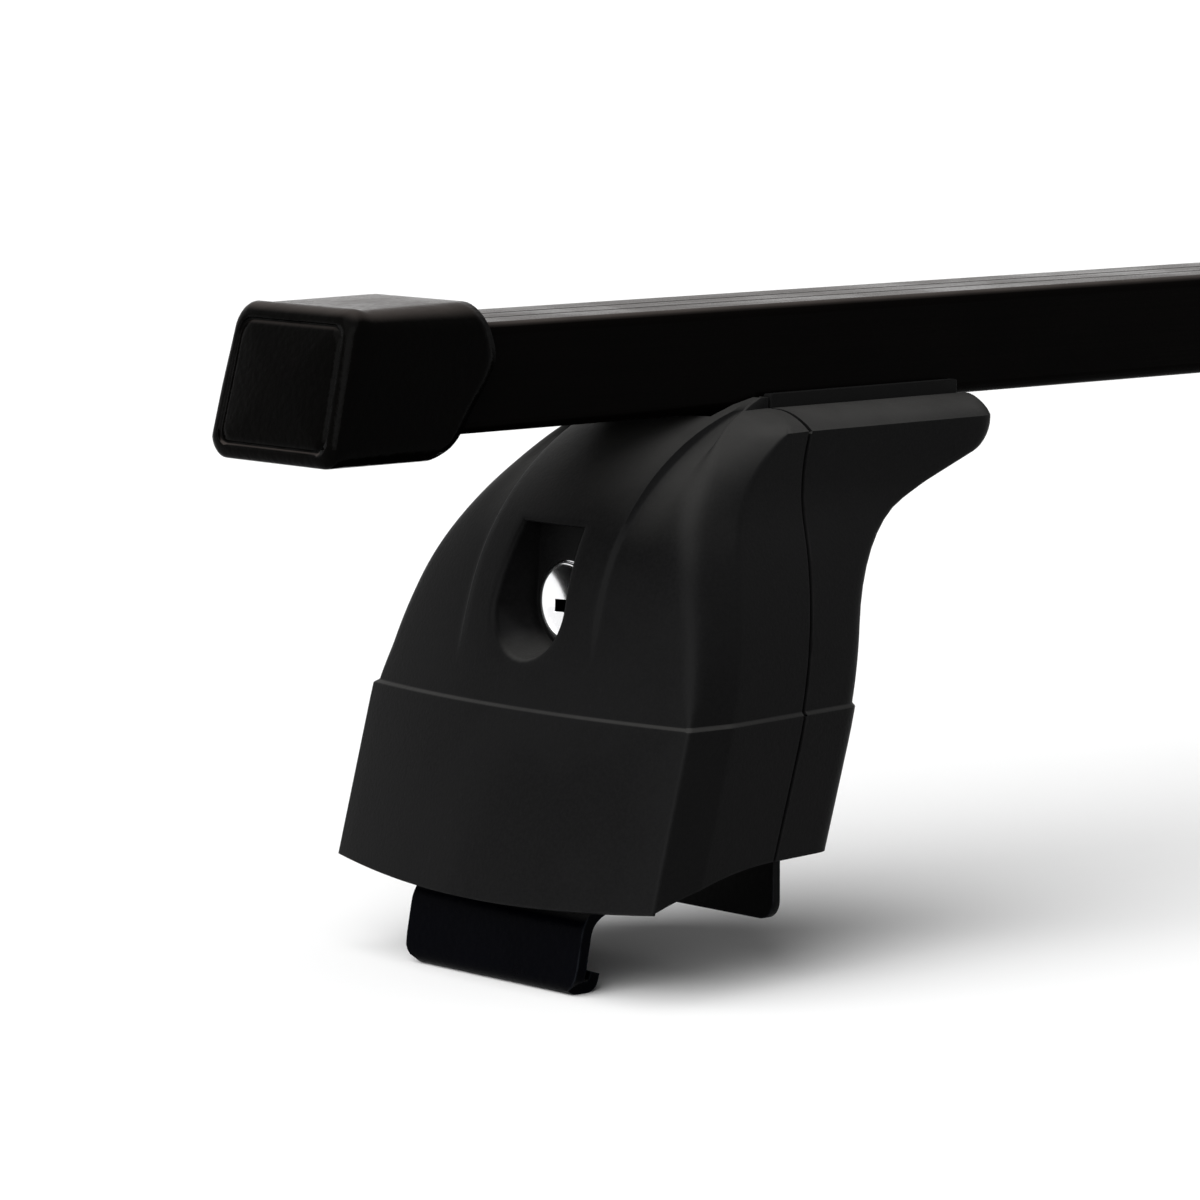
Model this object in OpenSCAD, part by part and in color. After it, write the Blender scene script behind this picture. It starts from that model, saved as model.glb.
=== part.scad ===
// Crossbar roof rack with two lockable feet that grip a roof rail between two jaws.
// X runs along the bar, the outer side of the left foot faces -X, and Z is up.
// The part stands on the lips of its outer jaws at z = 0.
// Each foot is drawn once, at the left end, and mirrored for the right end.
// In the foot's own frame x = 0 is the top of the seam between its two shells,
// x grows inboard, and z = 0 is the top of the bar.

/* [Bar] */
// Length of the crossbar without its end caps
bar_len = 1086; // [700:1:1400]
// Width of the bar over its sheath
bar_w = 32; // [28:0.5:34]
// Height of the bar over its sheath
bar_h = 22; // [20:0.5:24]
// Thickness of the plastic sheath
sheath_t = 1; // [0.6:0.1:1.4]
// Wall of the steel tube
tube_wall = 1.5; // [1.2:0.1:2.4]
// Outer corner radius of the sheath
bar_corner_r = 2.5; // [1.5:0.1:3.5]
// Distance between the two fine grooves on top of the sheath
groove_gap = 9; // [6:0.5:14]
// How far the bolts can slide along the slot, past their own spacing
slot_travel = 68; // [56:1:80]

/* [End cap] */
// Length of the cap along its top
cap_top_len = 39; // [34:0.5:42]
// Length of the cap along its bottom
cap_bottom_len = 27; // [22:0.5:32]
// Thickness of the cap's end wall
cap_end_t = 7; // [6.5:0.5:9]
// How far the top of the cap's face lies inboard of its foot
cap_face_lean = 6.5; // [4:0.5:8]
// Plastic of the cap beside the bar
cap_side_t = 4; // [3:0.5:5]
// Plastic of the cap over and under the bar
cap_top_t = 4.5; // [3:0.5:6]

/* [Foot shells] */
// Distance from the end of the bar to the foot's seam
foot_setback = 111; // [108:1:200]
// Half width of the shells at the seam, near the ground
skirt_half_w = 47; // [44:0.5:52]
// Half width of the wing under the bar
wing_half_w = 31; // [28:0.5:34]
// Height of the foot's skirt edge below the top of the bar
foot_drop = 110; // [107:0.5:113]
// Depth of the inner shell behind the seam
shell_depth = 18.3; // [15:0.1:20]
// Length of the wing behind the seam
wing_len = 55; // [46:0.5:60]
// Wall of the plastic shells
shell_wall = 2.5; // [2:0.1:3]
// How far the skirt stands proud of the body above it
skirt_step = 0.8; // [0.4:0.1:1.2]
// Gap between the two shells along the seam
seam_gap = 0.7; // [0.4:0.1:1]

/* [Lock] */
// Width of the pocket round the lock
pocket_w = 21; // [20:0.5:24]
// Height of the lock's axis below the top of the bar
lock_drop = 60.5; // [58:0.5:63]
// Outer diameter of the lock housing
lock_d = 18; // [16:0.5:18.5]
// Diameter of the turning plug
plug_d = 15; // [12:0.5:15]

/* [Frame and fasteners] */
// Thickness of the steel frame
frame_t = 3; // [2.5:0.1:3.5]
// Outer width of the frame
frame_w = 30; // [28:0.5:32]
// Diameter of the clamp bolt
clamp_d = 8; // [6:1:8]
// Diameter of the T-bolts
tbolt_d = 8; // [6:1:8]
// Spacing of the two T-bolts
tbolt_gap = 24; // [20:1:26]
// Thickness of the rubber under the bar
saddle_t = 3.1; // [2.5:0.1:3.5]

/* [Jaws] */
// Thickness of the outer jaw plate
jaw_t = 2.5; // [2:0.1:3.5]
// Width of the outer jaw
jaw_w = 54; // [50:1:64]
// Depth of the outer jaw's lip below the skirt edge
jaw_drop = 26.7; // [22:0.1:32]
// Clear gap between the jaws when open
jaw_gap = 43.9; // [40:0.1:45]
// Travel of the outer jaw
jaw_travel = 12; // [8:0.5:12]
// Thickness of the inner jaw plate
inner_jaw_t = 2; // [1.5:0.1:2.5]
// Width of the inner jaw
inner_jaw_w = 72; // [60:1:76]

/* [Hidden] */
$fn = 48;

// Clearances, and the reach of cuts that run past every piece of the foot
fit = 0.05;
gap = 0.3;
eps = 0.01;
reach = 100;

// Bar
rest_h = foot_drop + jaw_drop;
tube_w = bar_w - 2 * sheath_t;
tube_h = bar_h - 2 * sheath_t;
tube_r = max(bar_corner_r - sheath_t, 0.5);
groove_w = 0.9;
groove_depth = 0.35;
slot_w = tbolt_d + 0.6;

cap_plug_len = 22;
cap_taper_len = 30;
cap_x = -foot_setback - cap_end_t;
cap_low_z = -bar_h - cap_top_t;
cap_foot_h = 4;
cap_lean = cap_face_lean / (bar_h + 2 * cap_top_t - cap_foot_h);
cap_taper = 0.12;
cap_corner_r = 6;
cap_corner_n = 5;
cap_edge_r = 2;

// Foot outline, in the foot's own frame
front_lean = 0.274;
seam_lean = 0.301;
seam_knee_z = -25;
arc_r = 53.5;
arc_top_z = -18.6;
front_knee_x = -49;
lean_a = atan(front_lean);
arc_x = front_knee_x + arc_r * cos(lean_a);
arc_z = arc_top_z - arc_r;
front_knee_z = arc_z + arc_r * sin(lean_a);
bulge = 5.2;
band_len = 10.8;
side_taper = 0.14;
corner_low_w = skirt_half_w + 2;
corner_top_w = bar_w / 2 + 1.9;
roof_inner_w = bar_w / 2 + 2.5;
roof_top_z = -21.3;
roof_low_z = -25.2;
roof_run = (wing_half_w - roof_inner_w) / (roof_top_z - roof_low_z);
cover_top_z = -19;
step_z = -80.6;
low_z = -foot_drop - 10;
skirt_mid_z = (low_z + step_z) / 2;
skirt_arc_r = 97;

// Side curve of the shells: a wide arc low down and a hollow one under the wing
side_hollow_r = 35;
side_top_z = -27;
side_low_z = -88;
side_rise = side_top_z - side_low_z;
side_in = skirt_half_w - wing_half_w;
side_a = 2 * atan(side_in / side_rise);
side_r = side_rise / sin(side_a) - side_hollow_r;

// Crease band down the middle of the cover
crease_half_w = 20.5;
crease_step = 0.7;
crease_low_z = -71.5;

// Lock
pocket_top_z = 16.5 - lock_drop;
pocket_depth = 10.7;
pocket_floor_x = front_x(-lock_drop) + pocket_depth;
pocket_floor_t = 2;
boss_wall = 2.5;
boss_end_x = pocket_floor_x + 15;
lock_end_x = pocket_floor_x + 20;
strike_x = lock_end_x + 2;
strike_t = 2.5;
cam_x = strike_x + strike_t + 0.4;
cam_t = 2;
cam_len = 10.8;
cam_w = 8;
plug_stub_d = 7;
keyway_w = 9;
keyway_h = 2.2;

// Clamp bolt: its head stays clear of the cover, and the frame's toe clear of the closed jaw
washer_t = 1.6;
clamp_z = -foot_drop + 12.5;
clamp_len = 30;
clamp_head_h = 4.4;
clamp_head_d = 13;
head_clear = 0.95;
toe_clear = 2.9;
jaw_tab_x = front_x(clamp_z + clamp_head_d / 2) - skirt_step + shell_wall + head_clear
    + clamp_head_h + washer_t;

// Frame and saddle
base_t = 2.5;
channel_z = -bar_h - gap;
web_top_z = -bar_h - saddle_t;
web_low_z = web_top_z - frame_t;
frame_toe_x = jaw_tab_x + jaw_t + jaw_travel + toe_clear;
frame_front_x = frame_toe_x + 2;
frame_bend_x = 12;
frame_neck = [2, -46];
frame_knee_z = -66;
frame_chest_z = -56;
frame_brow = [-20, -38.5];
frame_crown = [-12, -31];
frame_lip_z = web_low_z - 0.9;
frame_web_end_x = wing_len - 11;
frame_foot_z = -foot_drop + base_t;
saddle_w = bar_w + 5;
saddle_end_x = wing_len;
floor_t = 2.5;
tbolt_x = [12, 12 + tbolt_gap];
tbolt_head = 13;
tbolt_head_h = 4;
nut_h = 6.5;
tbolt_end = 3;
nut_room = washer_t + nut_h + tbolt_end + gap;
nut_clear_d = 20;

// Jaws and clamp
inner_jaw_x = frame_front_x + 15;
inner_jaw_low_z = -foot_drop - 15;
rail_pad_t = 3;
rail_pad_w = 48;
jaw_x = inner_jaw_x - jaw_gap - jaw_t;
jaw_face_z = -foot_drop - 12;
jaw_tab_w = 22;
jaw_tab_top_z = -foot_drop + 21;
jaw_corner_r = 3;
jaw_notch_w = frame_w - 2;
jaw_lip = 7.5;
jaw_lean = 0.22;
nut_block_len = 7;
screw_y = 26;
screw_z = -foot_drop + 11;
screw_d = 3.5;

// Front face of the foot at height z, on the centre line
function front_x(z) = z < front_knee_z
    ? front_knee_x + (z - front_knee_z) * front_lean
    : arc_x - sqrt(arc_r * arc_r - pow(z - arc_z, 2));
// Seam between the shells at height z
function seam_x(z) = min(0, (z - seam_knee_z) * seam_lean);
// Half width of the shells at the seam, up to the wing
function side_w(z) = z < side_low_z ? skirt_half_w
    : z > side_top_z ? wing_half_w
    : z < side_top_z - side_hollow_r * sin(side_a)
        ? skirt_half_w - side_r * (1 - sqrt(1 - pow((z - side_low_z) / side_r, 2)))
        : wing_half_w + side_hollow_r * (1 - sqrt(1 - pow((side_top_z - z) / side_hollow_r, 2)));
// Half width with the roof slope beside the bar
function seam_w(z) = z < roof_low_z ? side_w(z)
    : z < roof_top_z ? wing_half_w - (z - roof_low_z) * roof_run
    : roof_inner_w;
// Half width of the front face's corner
function corner_w(z) = corner_top_w + (corner_low_w - corner_top_w)
    * sin(90 * min(1, max(0, (cover_top_z + 0.4 - z) / (cover_top_z - step_z + 4))));

// One level of the cover's skin, grown outward by o, with its open side moved by e
function cover_ring(z, o, e) =
    let (xf = front_x(z) - o, xs = seam_x(z) - seam_gap / 2 + e, room = seam_x(z) - xf,
         b = min(bulge, 0.4 * room), xc = xf + b, xb = xf + min(b + band_len, 0.75 * room),
         wc = corner_w(z) + o, ws = seam_w(z) + o,
         wb = max(ws, min(ws + side_taper * (xs - e - xb), ws + 4)),
         half = [for (t = [0.25, 0.5, 0.75]) [xf + b * t * t, wc * t]],
         side = [[xc, wc], [xb, wb], [xs, ws - side_taper * 0.3 * e]])
    concat([for (i = [2:-1:0]) [side[i][0], side[i][1], z]],
        [for (i = [2:-1:0]) [half[i][0], half[i][1], z]], [[xf, 0, z]],
        [for (p = half) [p[0], -p[1], z]], [for (p = side) [p[0], -p[1], z]]);

// Inboard end of the inner shell at height z: a wall, a hollow sweep and the wing's tip
wing_slope = 0.38;
sweep_r = 37;
tip_r = 5;
wall_a = 90 - atan(seam_lean);
wing_a = atan(wing_slope);
wing_low_x = wing_len - 5;
wing_low_z = -32.8;
// Where the wall's line and the wing's underside would meet
knee_x = (shell_depth + seam_lean * (wing_low_z - wing_slope * wing_low_x - seam_knee_z))
    / (1 - seam_lean * wing_slope);
knee_z = wing_low_z + (knee_x - wing_low_x) * wing_slope;
sweep_t = sweep_r * tan((wall_a - wing_a) / 2);
sweep_cx = knee_x - sweep_t * cos(wall_a) + sweep_r * sin(wall_a);
sweep_cz = knee_z - sweep_t * sin(wall_a) - sweep_r * cos(wall_a);
sweep_n = 6;
sweep_levels = [for (i = [0:sweep_n])
    sweep_cz + sweep_r * cos(wall_a + (wing_a - wall_a) * i / sweep_n)];
function end_x(z) = z < sweep_levels[0] ? shell_depth + seam_lean * (z - seam_knee_z)
    : z < sweep_levels[sweep_n] ? sweep_cx - sqrt(sweep_r * sweep_r - pow(z - sweep_cz, 2))
    : z < wing_low_z ? wing_low_x + (z - wing_low_z) / wing_slope
    : wing_len - tip_r + sqrt(max(0, tip_r * tip_r - pow(min(0, z - wing_low_z - tip_r), 2)))
        - max(0, (z - roof_low_z) / (roof_top_z - roof_low_z)) * 1.6;

screw_len = end_x(screw_z) - inner_jaw_x - shell_wall - 0.7;

// One level of the inner shell's skin
function shell_ring(z, o, e) =
    let (xs = seam_x(z) + seam_gap / 2 - e, xe = end_x(z) + o, ws = seam_w(z) + o,
         we = max(ws - 2.6, min(ws - 0.3, wing_half_w + o - 0.8)), rc = 3.5,
         half = [[xs, ws], [xe - rc, we], [xe - rc * 0.3, we - rc * 0.3], [xe, we - rc]])
    concat([for (p = half) [p[0], -p[1], z]],
        [for (i = [3:-1:0]) [half[i][0], half[i][1], z]]);

// Closed skin through a stack of rings that have the same number of points
module loft(rings) {
    n = len(rings[0]);
    m = len(rings);
    points = [for (r = rings) for (p = r) p];
    walls = [for (i = [0:m - 2]) for (j = [0:n - 1]) let (k = (j + 1) % n)
        each [[i * n + j, (i + 1) * n + j, i * n + k], [i * n + k, (i + 1) * n + j, (i + 1) * n + k]]];
    polyhedron(points, concat([[for (j = [0:n - 1]) j]], walls,
        [[for (j = [n - 1:-1:0]) (m - 1) * n + j]]));
}

// Rounded bar section, drawn in the YZ plane and run along X
module bar_section(w, h, r, x0, x1) {
    translate([x0, 0, -bar_h / 2]) rotate([90, 0, 90]) linear_extrude(x1 - x0)
        rounded_rect(w, h, r);
}

module rounded_rect(w, h, r) {
    square([w - 2 * r, h], center = true);
    square([w, h - 2 * r], center = true);
    for (x = [-1, 1], y = [-1, 1]) translate([x * (w / 2 - r), y * (h / 2 - r)]) circle(r);
}

// Side profile in the XZ plane, run across Y by w
module across(w) {
    translate([0, w / 2, 0]) rotate([90, 0, 0]) linear_extrude(w) children();
}

module x_cylinder(x0, x1, y, z, d, sides = 48) {
    translate([x0, y, z]) rotate([0, 90, 0]) cylinder(h = x1 - x0, d = d, $fn = sides);
}

module z_cylinder(z0, z1, x, y, d, sides = 48) {
    translate([x, y, z0]) cylinder(h = z1 - z0, d = d, $fn = sides);
}

// Box from one corner to the other
module box(a, b) {
    translate(a) cube(b - a);
}

// Outline of a sheet of thickness t that is bent along a path of points
function unit(v) = v / norm(v);
function sheet_side(path, o) = [for (i = [0:len(path) - 1])
    let (last = len(path) - 1, d = unit(path[max(i, 1)] - path[max(i, 1) - 1]),
         e = unit(path[min(i + 1, last)] - path[min(i + 1, last) - 1]), n = unit(d + e))
    path[i] + [-n[1], n[0]] * o / (n * d)];

module bent_sheet(path, t) {
    outer = sheet_side(path, t / 2);
    inner = sheet_side(path, -t / 2);
    polygon(concat(outer, [for (i = [len(inner) - 1:-1:0]) inner[i]]));
}

module at_left() {
    translate([-bar_len / 2 + foot_setback, 0, rest_h]) children();
}

module at_right() {
    mirror([1, 0, 0]) at_left() children();
}

module bar_tube() {
    color([0.45, 0.46, 0.48]) translate([0, 0, rest_h]) difference() {
        bar_section(tube_w, tube_h, tube_r, -bar_len / 2, bar_len / 2);
        bar_section(tube_w - 2 * tube_wall, tube_h - 2 * tube_wall, 0.5, -bar_len, bar_len);
        bar_slots();
    }
}

// Slots under both ends of the bar, for the T-bolts
module bar_slots() {
    mid = -bar_len / 2 + foot_setback + (tbolt_x[0] + tbolt_x[1]) / 2 + slot_travel / 2 - 8;
    len = slot_travel + tbolt_gap + slot_w;
    for (s = [-1, 1]) translate([s * mid, 0, -bar_h]) {
        box([-len / 2 + slot_w / 2, -slot_w / 2, -1], [len / 2 - slot_w / 2, slot_w / 2, bar_h / 2]);
        for (e = [-1, 1])
            z_cylinder(-1, bar_h / 2, e * (len - slot_w) / 2, 0, slot_w);
    }
}

module bar_sheath() {
    color([0.06, 0.06, 0.06]) translate([0, 0, rest_h]) difference() {
        bar_section(bar_w, bar_h, bar_corner_r, -bar_len / 2, bar_len / 2);
        bar_section(tube_w, tube_h, tube_r, -bar_len, bar_len);
        bar_slots();
        for (s = [-1, 1]) translate([0, s * groove_gap / 2, -groove_depth / 2])
            cube([2 * bar_len, groove_w, groove_depth + eps], center = true);
    }
}

// The cap's face leans back above its foot
function cap_face_x(z) = cap_x + max(0, z - cap_low_z - cap_foot_h) * cap_lean;
// One ring of the end cap: a rounded section d behind the face, drawn in by inset and, at its top, by taper
function cap_ring(d, inset, taper) =
    let (w = bar_w / 2 + cap_side_t - inset, r = cap_corner_r - inset / 2,
         low = cap_low_z + inset, top = cap_top_t - inset)
    [for (c = [[1, top, 0], [-1, top, 90], [-1, low, 180], [1, low, 270]], i = [0:cap_corner_n])
        let (a = c[2] + 90 * i / cap_corner_n, z = c[1] + (c[1] == top ? -r : r) + r * sin(a),
             narrow = 1 - taper * (z - low) / (top - low))
        [cap_face_x(z) + d, (c[0] * (w - r) + r * cos(a)) * narrow, z]];

// End cap in the foot's frame, for the left end
module end_cap() {
    color([0.09, 0.09, 0.09]) difference() {
        intersection() {
            loft(concat([for (a = [0:22.5:90])
                cap_ring(cap_edge_r * (1 - cos(a)), cap_edge_r * (1 - sin(a)), cap_taper)],
                [cap_ring(cap_taper_len / 2, 0, cap_taper / 3), cap_ring(cap_taper_len, 0, 0),
                    cap_ring(cap_top_len + 20, 0, 0)]));
            across(reach) cap_side();
        }
        bar_section(bar_w + 2 * fit, bar_h + 2 * fit, bar_corner_r, -foot_setback, 0);
        cap_face_groove();
    }
    plug_w = tube_w - 2 * tube_wall - 2 * gap;
    plug_h = tube_h - 2 * tube_wall - 2 * gap;
    color([0.09, 0.09, 0.09]) difference() {
        bar_section(plug_w, plug_h, 1, -foot_setback - 0.5, -foot_setback + cap_plug_len);
        bar_section(plug_w - 5, plug_h - 5, 1, -foot_setback, 0);
    }
}

// Side view of the cap's rim: it bellies out beside the bar and runs back underneath
module cap_side() {
    rim = cap_x + cap_top_len;
    polygon([[cap_x - 1, cap_top_t + 1], [rim, cap_top_t + 1], [rim + 3.2, -3], [rim + 3.2, -6],
        [rim - 3.5, -17], [rim - 5.5, -21], [cap_x + cap_bottom_len, cap_low_z - 1],
        [cap_x - 1, cap_low_z - 1]]);
    translate([rim - 5.3, -4.3]) circle(8.6);
}

// Fine groove that frames the panel on the cap's face
module cap_face_groove() {
    w = bar_w - 1;
    h = bar_h + 0.5;
    translate([cap_face_x(-bar_h / 2), 0, -bar_h / 2]) rotate([0, atan(cap_lean), 0])
        translate([0, 0, bar_h / 2]) difference() {
            bar_section(w, h, 5, -3, 0.6);
            bar_section(w - 1.6, h - 1.6, 4.2, -4, 2);
        }
}

// Angle on the arc where the roof beside the bar begins
roof_low_a = asin((roof_low_z - arc_z) / arc_r);
// Heights of the cover's levels: straight skirt, the step, then along the arc
cover_levels = concat([front_knee_z - 14, front_knee_z - 7],
    [for (i = [0:8]) arc_z + arc_r * sin(lean_a + (roof_low_a - lean_a) * i / 8)],
    [(roof_low_z + roof_top_z) / 2, roof_top_z, -20.2, cover_top_z]);

module cover_skin(o, e) {
    loft(concat([cover_ring(low_z, o + skirt_step, e), cover_ring(skirt_mid_z, o + skirt_step, e),
        cover_ring(step_z - 0.4, o + skirt_step, e), cover_ring(step_z + 0.4, o, e)],
        [for (z = cover_levels) cover_ring(z, o, e)]));
}

module cover_cavity() {
    loft(concat([cover_ring(low_z - 5, skirt_step - shell_wall, 12),
        cover_ring(step_z - 2, skirt_step - shell_wall, 12), cover_ring(step_z + 2, -shell_wall, 12)],
        [for (z = cover_levels) if (z < roof_low_z - shell_wall - 0.5)
            cover_ring(z, -shell_wall, 12)], [cover_ring(roof_low_z - shell_wall, -shell_wall - 1.2, 12)]));
}

// Outline of the lock pocket in the YZ plane: square at the top, round below
module pocket_outline(o) {
    r = pocket_w / 2 + o;
    translate([0, -lock_drop]) circle(r);
    translate([-r, -lock_drop]) square([2 * r, lock_drop + pocket_top_z + o]);
}

module along_x(x0, x1) {
    translate([x0, 0, 0]) rotate([90, 0, 90]) linear_extrude(x1 - x0) children();
}

module cover() {
    color([0.17, 0.17, 0.175]) difference() {
        union() {
            cover_skin(0, 0);
            crease_band();
        }
        difference() {
            cover_cavity();
            along_x(-reach, pocket_floor_x + pocket_floor_t) pocket_outline(2);
            x_cylinder(pocket_floor_x, boss_end_x, 0, -lock_drop, lock_d + 2 * boss_wall);
        }
        skirt_cut();
        along_x(-reach, pocket_floor_x) pocket_outline(0);
        x_cylinder(-reach, 0, 0, -lock_drop, lock_d + 2 * fit);
        bar_channel();
    }
}

// The arched lower edge of the skirt
module skirt_cut() {
    translate([seam_x(-foot_drop), 0, -foot_drop - skirt_arc_r]) rotate([90, 0, 0])
        cylinder(h = 2 * reach, r = skirt_arc_r, center = true, $fn = 180);
}

// The bar lies in this channel
module bar_channel() {
    box([-reach, -bar_w / 2 - gap, channel_z], [reach, bar_w / 2 + gap, 1]);
}

// Raised band between the two creases, which fades into the face low down
module crease_band() {
    intersection() {
        cover_skin(crease_step, 0);
        along_x(-reach, 0) polygon([[-crease_half_w, crease_low_z], [crease_half_w, crease_low_z],
            [crease_half_w - 2, channel_z], [2 - crease_half_w, channel_z]]);
        box([-reach, -reach, crease_low_z], [-8, reach, channel_z]);
    }
}

// Heights of the inner shell's levels, and of the hollow inside it
wing_levels = [for (t = [1, 2]) sweep_levels[sweep_n] + (wing_low_z - sweep_levels[sweep_n]) * t / 3];
hollow_levels = concat([low_z, skirt_mid_z, step_z - 0.4, step_z + 0.4, step_z + 8], sweep_levels,
    wing_levels, [wing_low_z, wing_low_z + 1]);
shell_levels = concat(hollow_levels,
    [wing_low_z + 2.6, wing_low_z + 4.8, roof_low_z, (roof_low_z + roof_top_z) / 2, roof_top_z]);

module inner_shell() {
    frame_half_w = frame_w / 2 + gap;
    block_w = frame_half_w + 2.5;
    color([0.17, 0.17, 0.175]) difference() {
        loft([for (z = shell_levels) shell_ring(z, z < step_z ? skirt_step : 0, 0)]);
        difference() {
            loft([for (z = hollow_levels) shell_ring(z, -shell_wall, 12)]);
            box([frame_bend_x + 2, -block_w, web_low_z - floor_t], [reach, block_w, 0]);
            for (s = [-1, 1])
                x_cylinder(inner_jaw_x + inner_jaw_t + gap, reach, s * screw_y, screw_z, 8);
        }
        box([-reach, -reach, low_z - 1], [reach, reach, -foot_drop]);
        box([-reach, -saddle_w / 2 - gap, web_top_z], [reach, saddle_w / 2 + gap, 1]);
        box([-reach, -frame_half_w, web_low_z], [frame_web_end_x + gap, frame_half_w, 1]);
        box([-reach, -frame_half_w, wing_low_z - 1], [frame_bend_x + gap, frame_half_w, 1]);
        z_cylinder(web_low_z - nut_room, web_low_z + 1, tbolt_x[0], 0, nut_clear_d);
        z_cylinder(-reach, web_low_z + 1, tbolt_x[1], 0, nut_clear_d);
        for (s = [-1, 1])
            x_cylinder(-reach, inner_jaw_x + screw_len + 0.5, s * screw_y, screw_z, screw_d + 0.2);
    }
}

// Rubber strip under the bar, with a low lip along each side
module saddle_pad() {
    lip_top = -bar_h + 3.6;
    color([0.05, 0.05, 0.05]) difference() {
        box([gap, -saddle_w / 2, web_top_z], [saddle_end_x, saddle_w / 2, lip_top]);
        box([-1, -bar_w / 2, -bar_h], [saddle_end_x + 1, bar_w / 2, 1]);
        for (x = tbolt_x) z_cylinder(-reach, 0, x, 0, tbolt_d + 1);
    }
}

// Steel bracket: a web under the bar and two legs down to the rail
module foot_frame() {
    foot_x = inner_jaw_x;
    color([0.35, 0.36, 0.38]) difference() {
        intersection() {
            across(frame_w) polygon([[gap, web_top_z], [frame_web_end_x, web_top_z],
                [frame_web_end_x, web_low_z], [frame_bend_x, web_low_z], frame_neck,
                [foot_x + 1, frame_knee_z], [foot_x, frame_knee_z - 6], [foot_x, frame_foot_z],
                [frame_toe_x, frame_foot_z], [frame_toe_x, frame_knee_z],
                [frame_front_x, frame_chest_z], frame_brow, frame_crown, [gap, frame_lip_z]]);
            union() {
                box([-reach, -frame_w / 2, web_low_z], [reach, frame_w / 2, 0]);
                for (s = [-1, 1]) translate([0, s * (frame_w - frame_t) / 2, -reach])
                    cube([2 * reach, frame_t, 2 * reach], center = true);
            }
        }
        for (x = tbolt_x) z_cylinder(-reach, 0, x, 0, tbolt_d + 0.6);
        translate([frame_front_x + 7, 0, frame_knee_z - 18]) rotate([90, 0, 0])
            cylinder(h = reach, d = 9, center = true);
    }
}

// Slotted plate between the frame's legs, which the lock's cam turns behind
module strike_plate() {
    w = frame_w - 2 * frame_t;
    z_low = -lock_drop - 8;
    slot = cam_w + 3;
    color([0.4, 0.41, 0.43]) difference() {
        box([strike_x, -w / 2, z_low], [strike_x + strike_t, w / 2, -lock_drop + cam_len + 4]);
        box([-reach, -slot / 2, -lock_drop - slot / 2], [0, slot / 2, -lock_drop + cam_len + 1]);
    }
}

module lock_housing() {
    color([0.3, 0.3, 0.31]) difference() {
        x_cylinder(pocket_floor_x - 0.6, lock_end_x, 0, -lock_drop, lock_d);
        x_cylinder(-reach, lock_end_x - 2, 0, -lock_drop, plug_d + 2 * fit);
        x_cylinder(-reach, 0, 0, -lock_drop, plug_stub_d + 2 * fit);
    }
}

// Turning plug with a level keyway and a round stub that carries the cam
module lock_plug() {
    face_x = pocket_floor_x - 1;
    color([0.85, 0.85, 0.87]) difference() {
        union() {
            x_cylinder(face_x, lock_end_x - 2 - fit, 0, -lock_drop, plug_d);
            x_cylinder(lock_end_x - 3, cam_x + cam_t, 0, -lock_drop, plug_stub_d);
        }
        translate([face_x, 0, -lock_drop]) cube([16, keyway_w, keyway_h], center = true);
        difference() {
            x_cylinder(face_x - 1, face_x + 0.5, 0, -lock_drop, plug_d - 2);
            x_cylinder(face_x - 2, face_x + 1, 0, -lock_drop, plug_d - 3.2);
        }
        x_cylinder(cam_x, cam_x + 6, 0, -lock_drop, 2.6);
    }
}

// Cam tongue, shown unlocked with its tongue up
module lock_cam() {
    color([0.6, 0.6, 0.62]) difference() {
        union() {
            x_cylinder(cam_x, cam_x + cam_t, 0, -lock_drop, cam_w + 2);
            box([cam_x, -cam_w / 2, -lock_drop], [cam_x + cam_t, cam_w / 2, -lock_drop + cam_len]);
        }
        x_cylinder(cam_x - 1, cam_x + cam_t + 1, 0, -lock_drop, plug_stub_d);
    }
}

module cam_screw() {
    color([0.7, 0.7, 0.72]) union() {
        x_cylinder(cam_x + cam_t, cam_x + cam_t + 1.6, 0, -lock_drop, 8.4);
        x_cylinder(cam_x + 0.4, cam_x + cam_t + 0.5, 0, -lock_drop, 2.5);
    }
}

// Two bolts whose square heads lie inside the bar tube
module t_bolts() {
    head_z = -bar_h + sheath_t + tube_wall;
    color([0.6, 0.6, 0.62]) for (x = tbolt_x) {
        box([x - tbolt_head / 2, -tbolt_head / 2, head_z],
            [x + tbolt_head / 2, tbolt_head / 2, head_z + tbolt_head_h]);
        z_cylinder(web_low_z - washer_t - nut_h - tbolt_end, head_z + 1, x, 0, tbolt_d);
    }
}

module bar_washers() {
    color([0.62, 0.62, 0.64]) for (x = tbolt_x) difference() {
        z_cylinder(web_low_z - washer_t, web_low_z, x, 0, 2 * tbolt_d);
        z_cylinder(web_low_z - washer_t - 1, web_low_z + 1, x, 0, tbolt_d + 0.4);
    }
}

module bar_nuts() {
    top = web_low_z - washer_t;
    color([0.6, 0.6, 0.62]) for (x = tbolt_x) difference() {
        z_cylinder(top - nut_h, top, x, 0, 1.62 * tbolt_d * 2 / sqrt(3), 6);
        z_cylinder(top - nut_h - 1, top + 1, x, 0, tbolt_d + 2 * fit);
    }
}

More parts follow.
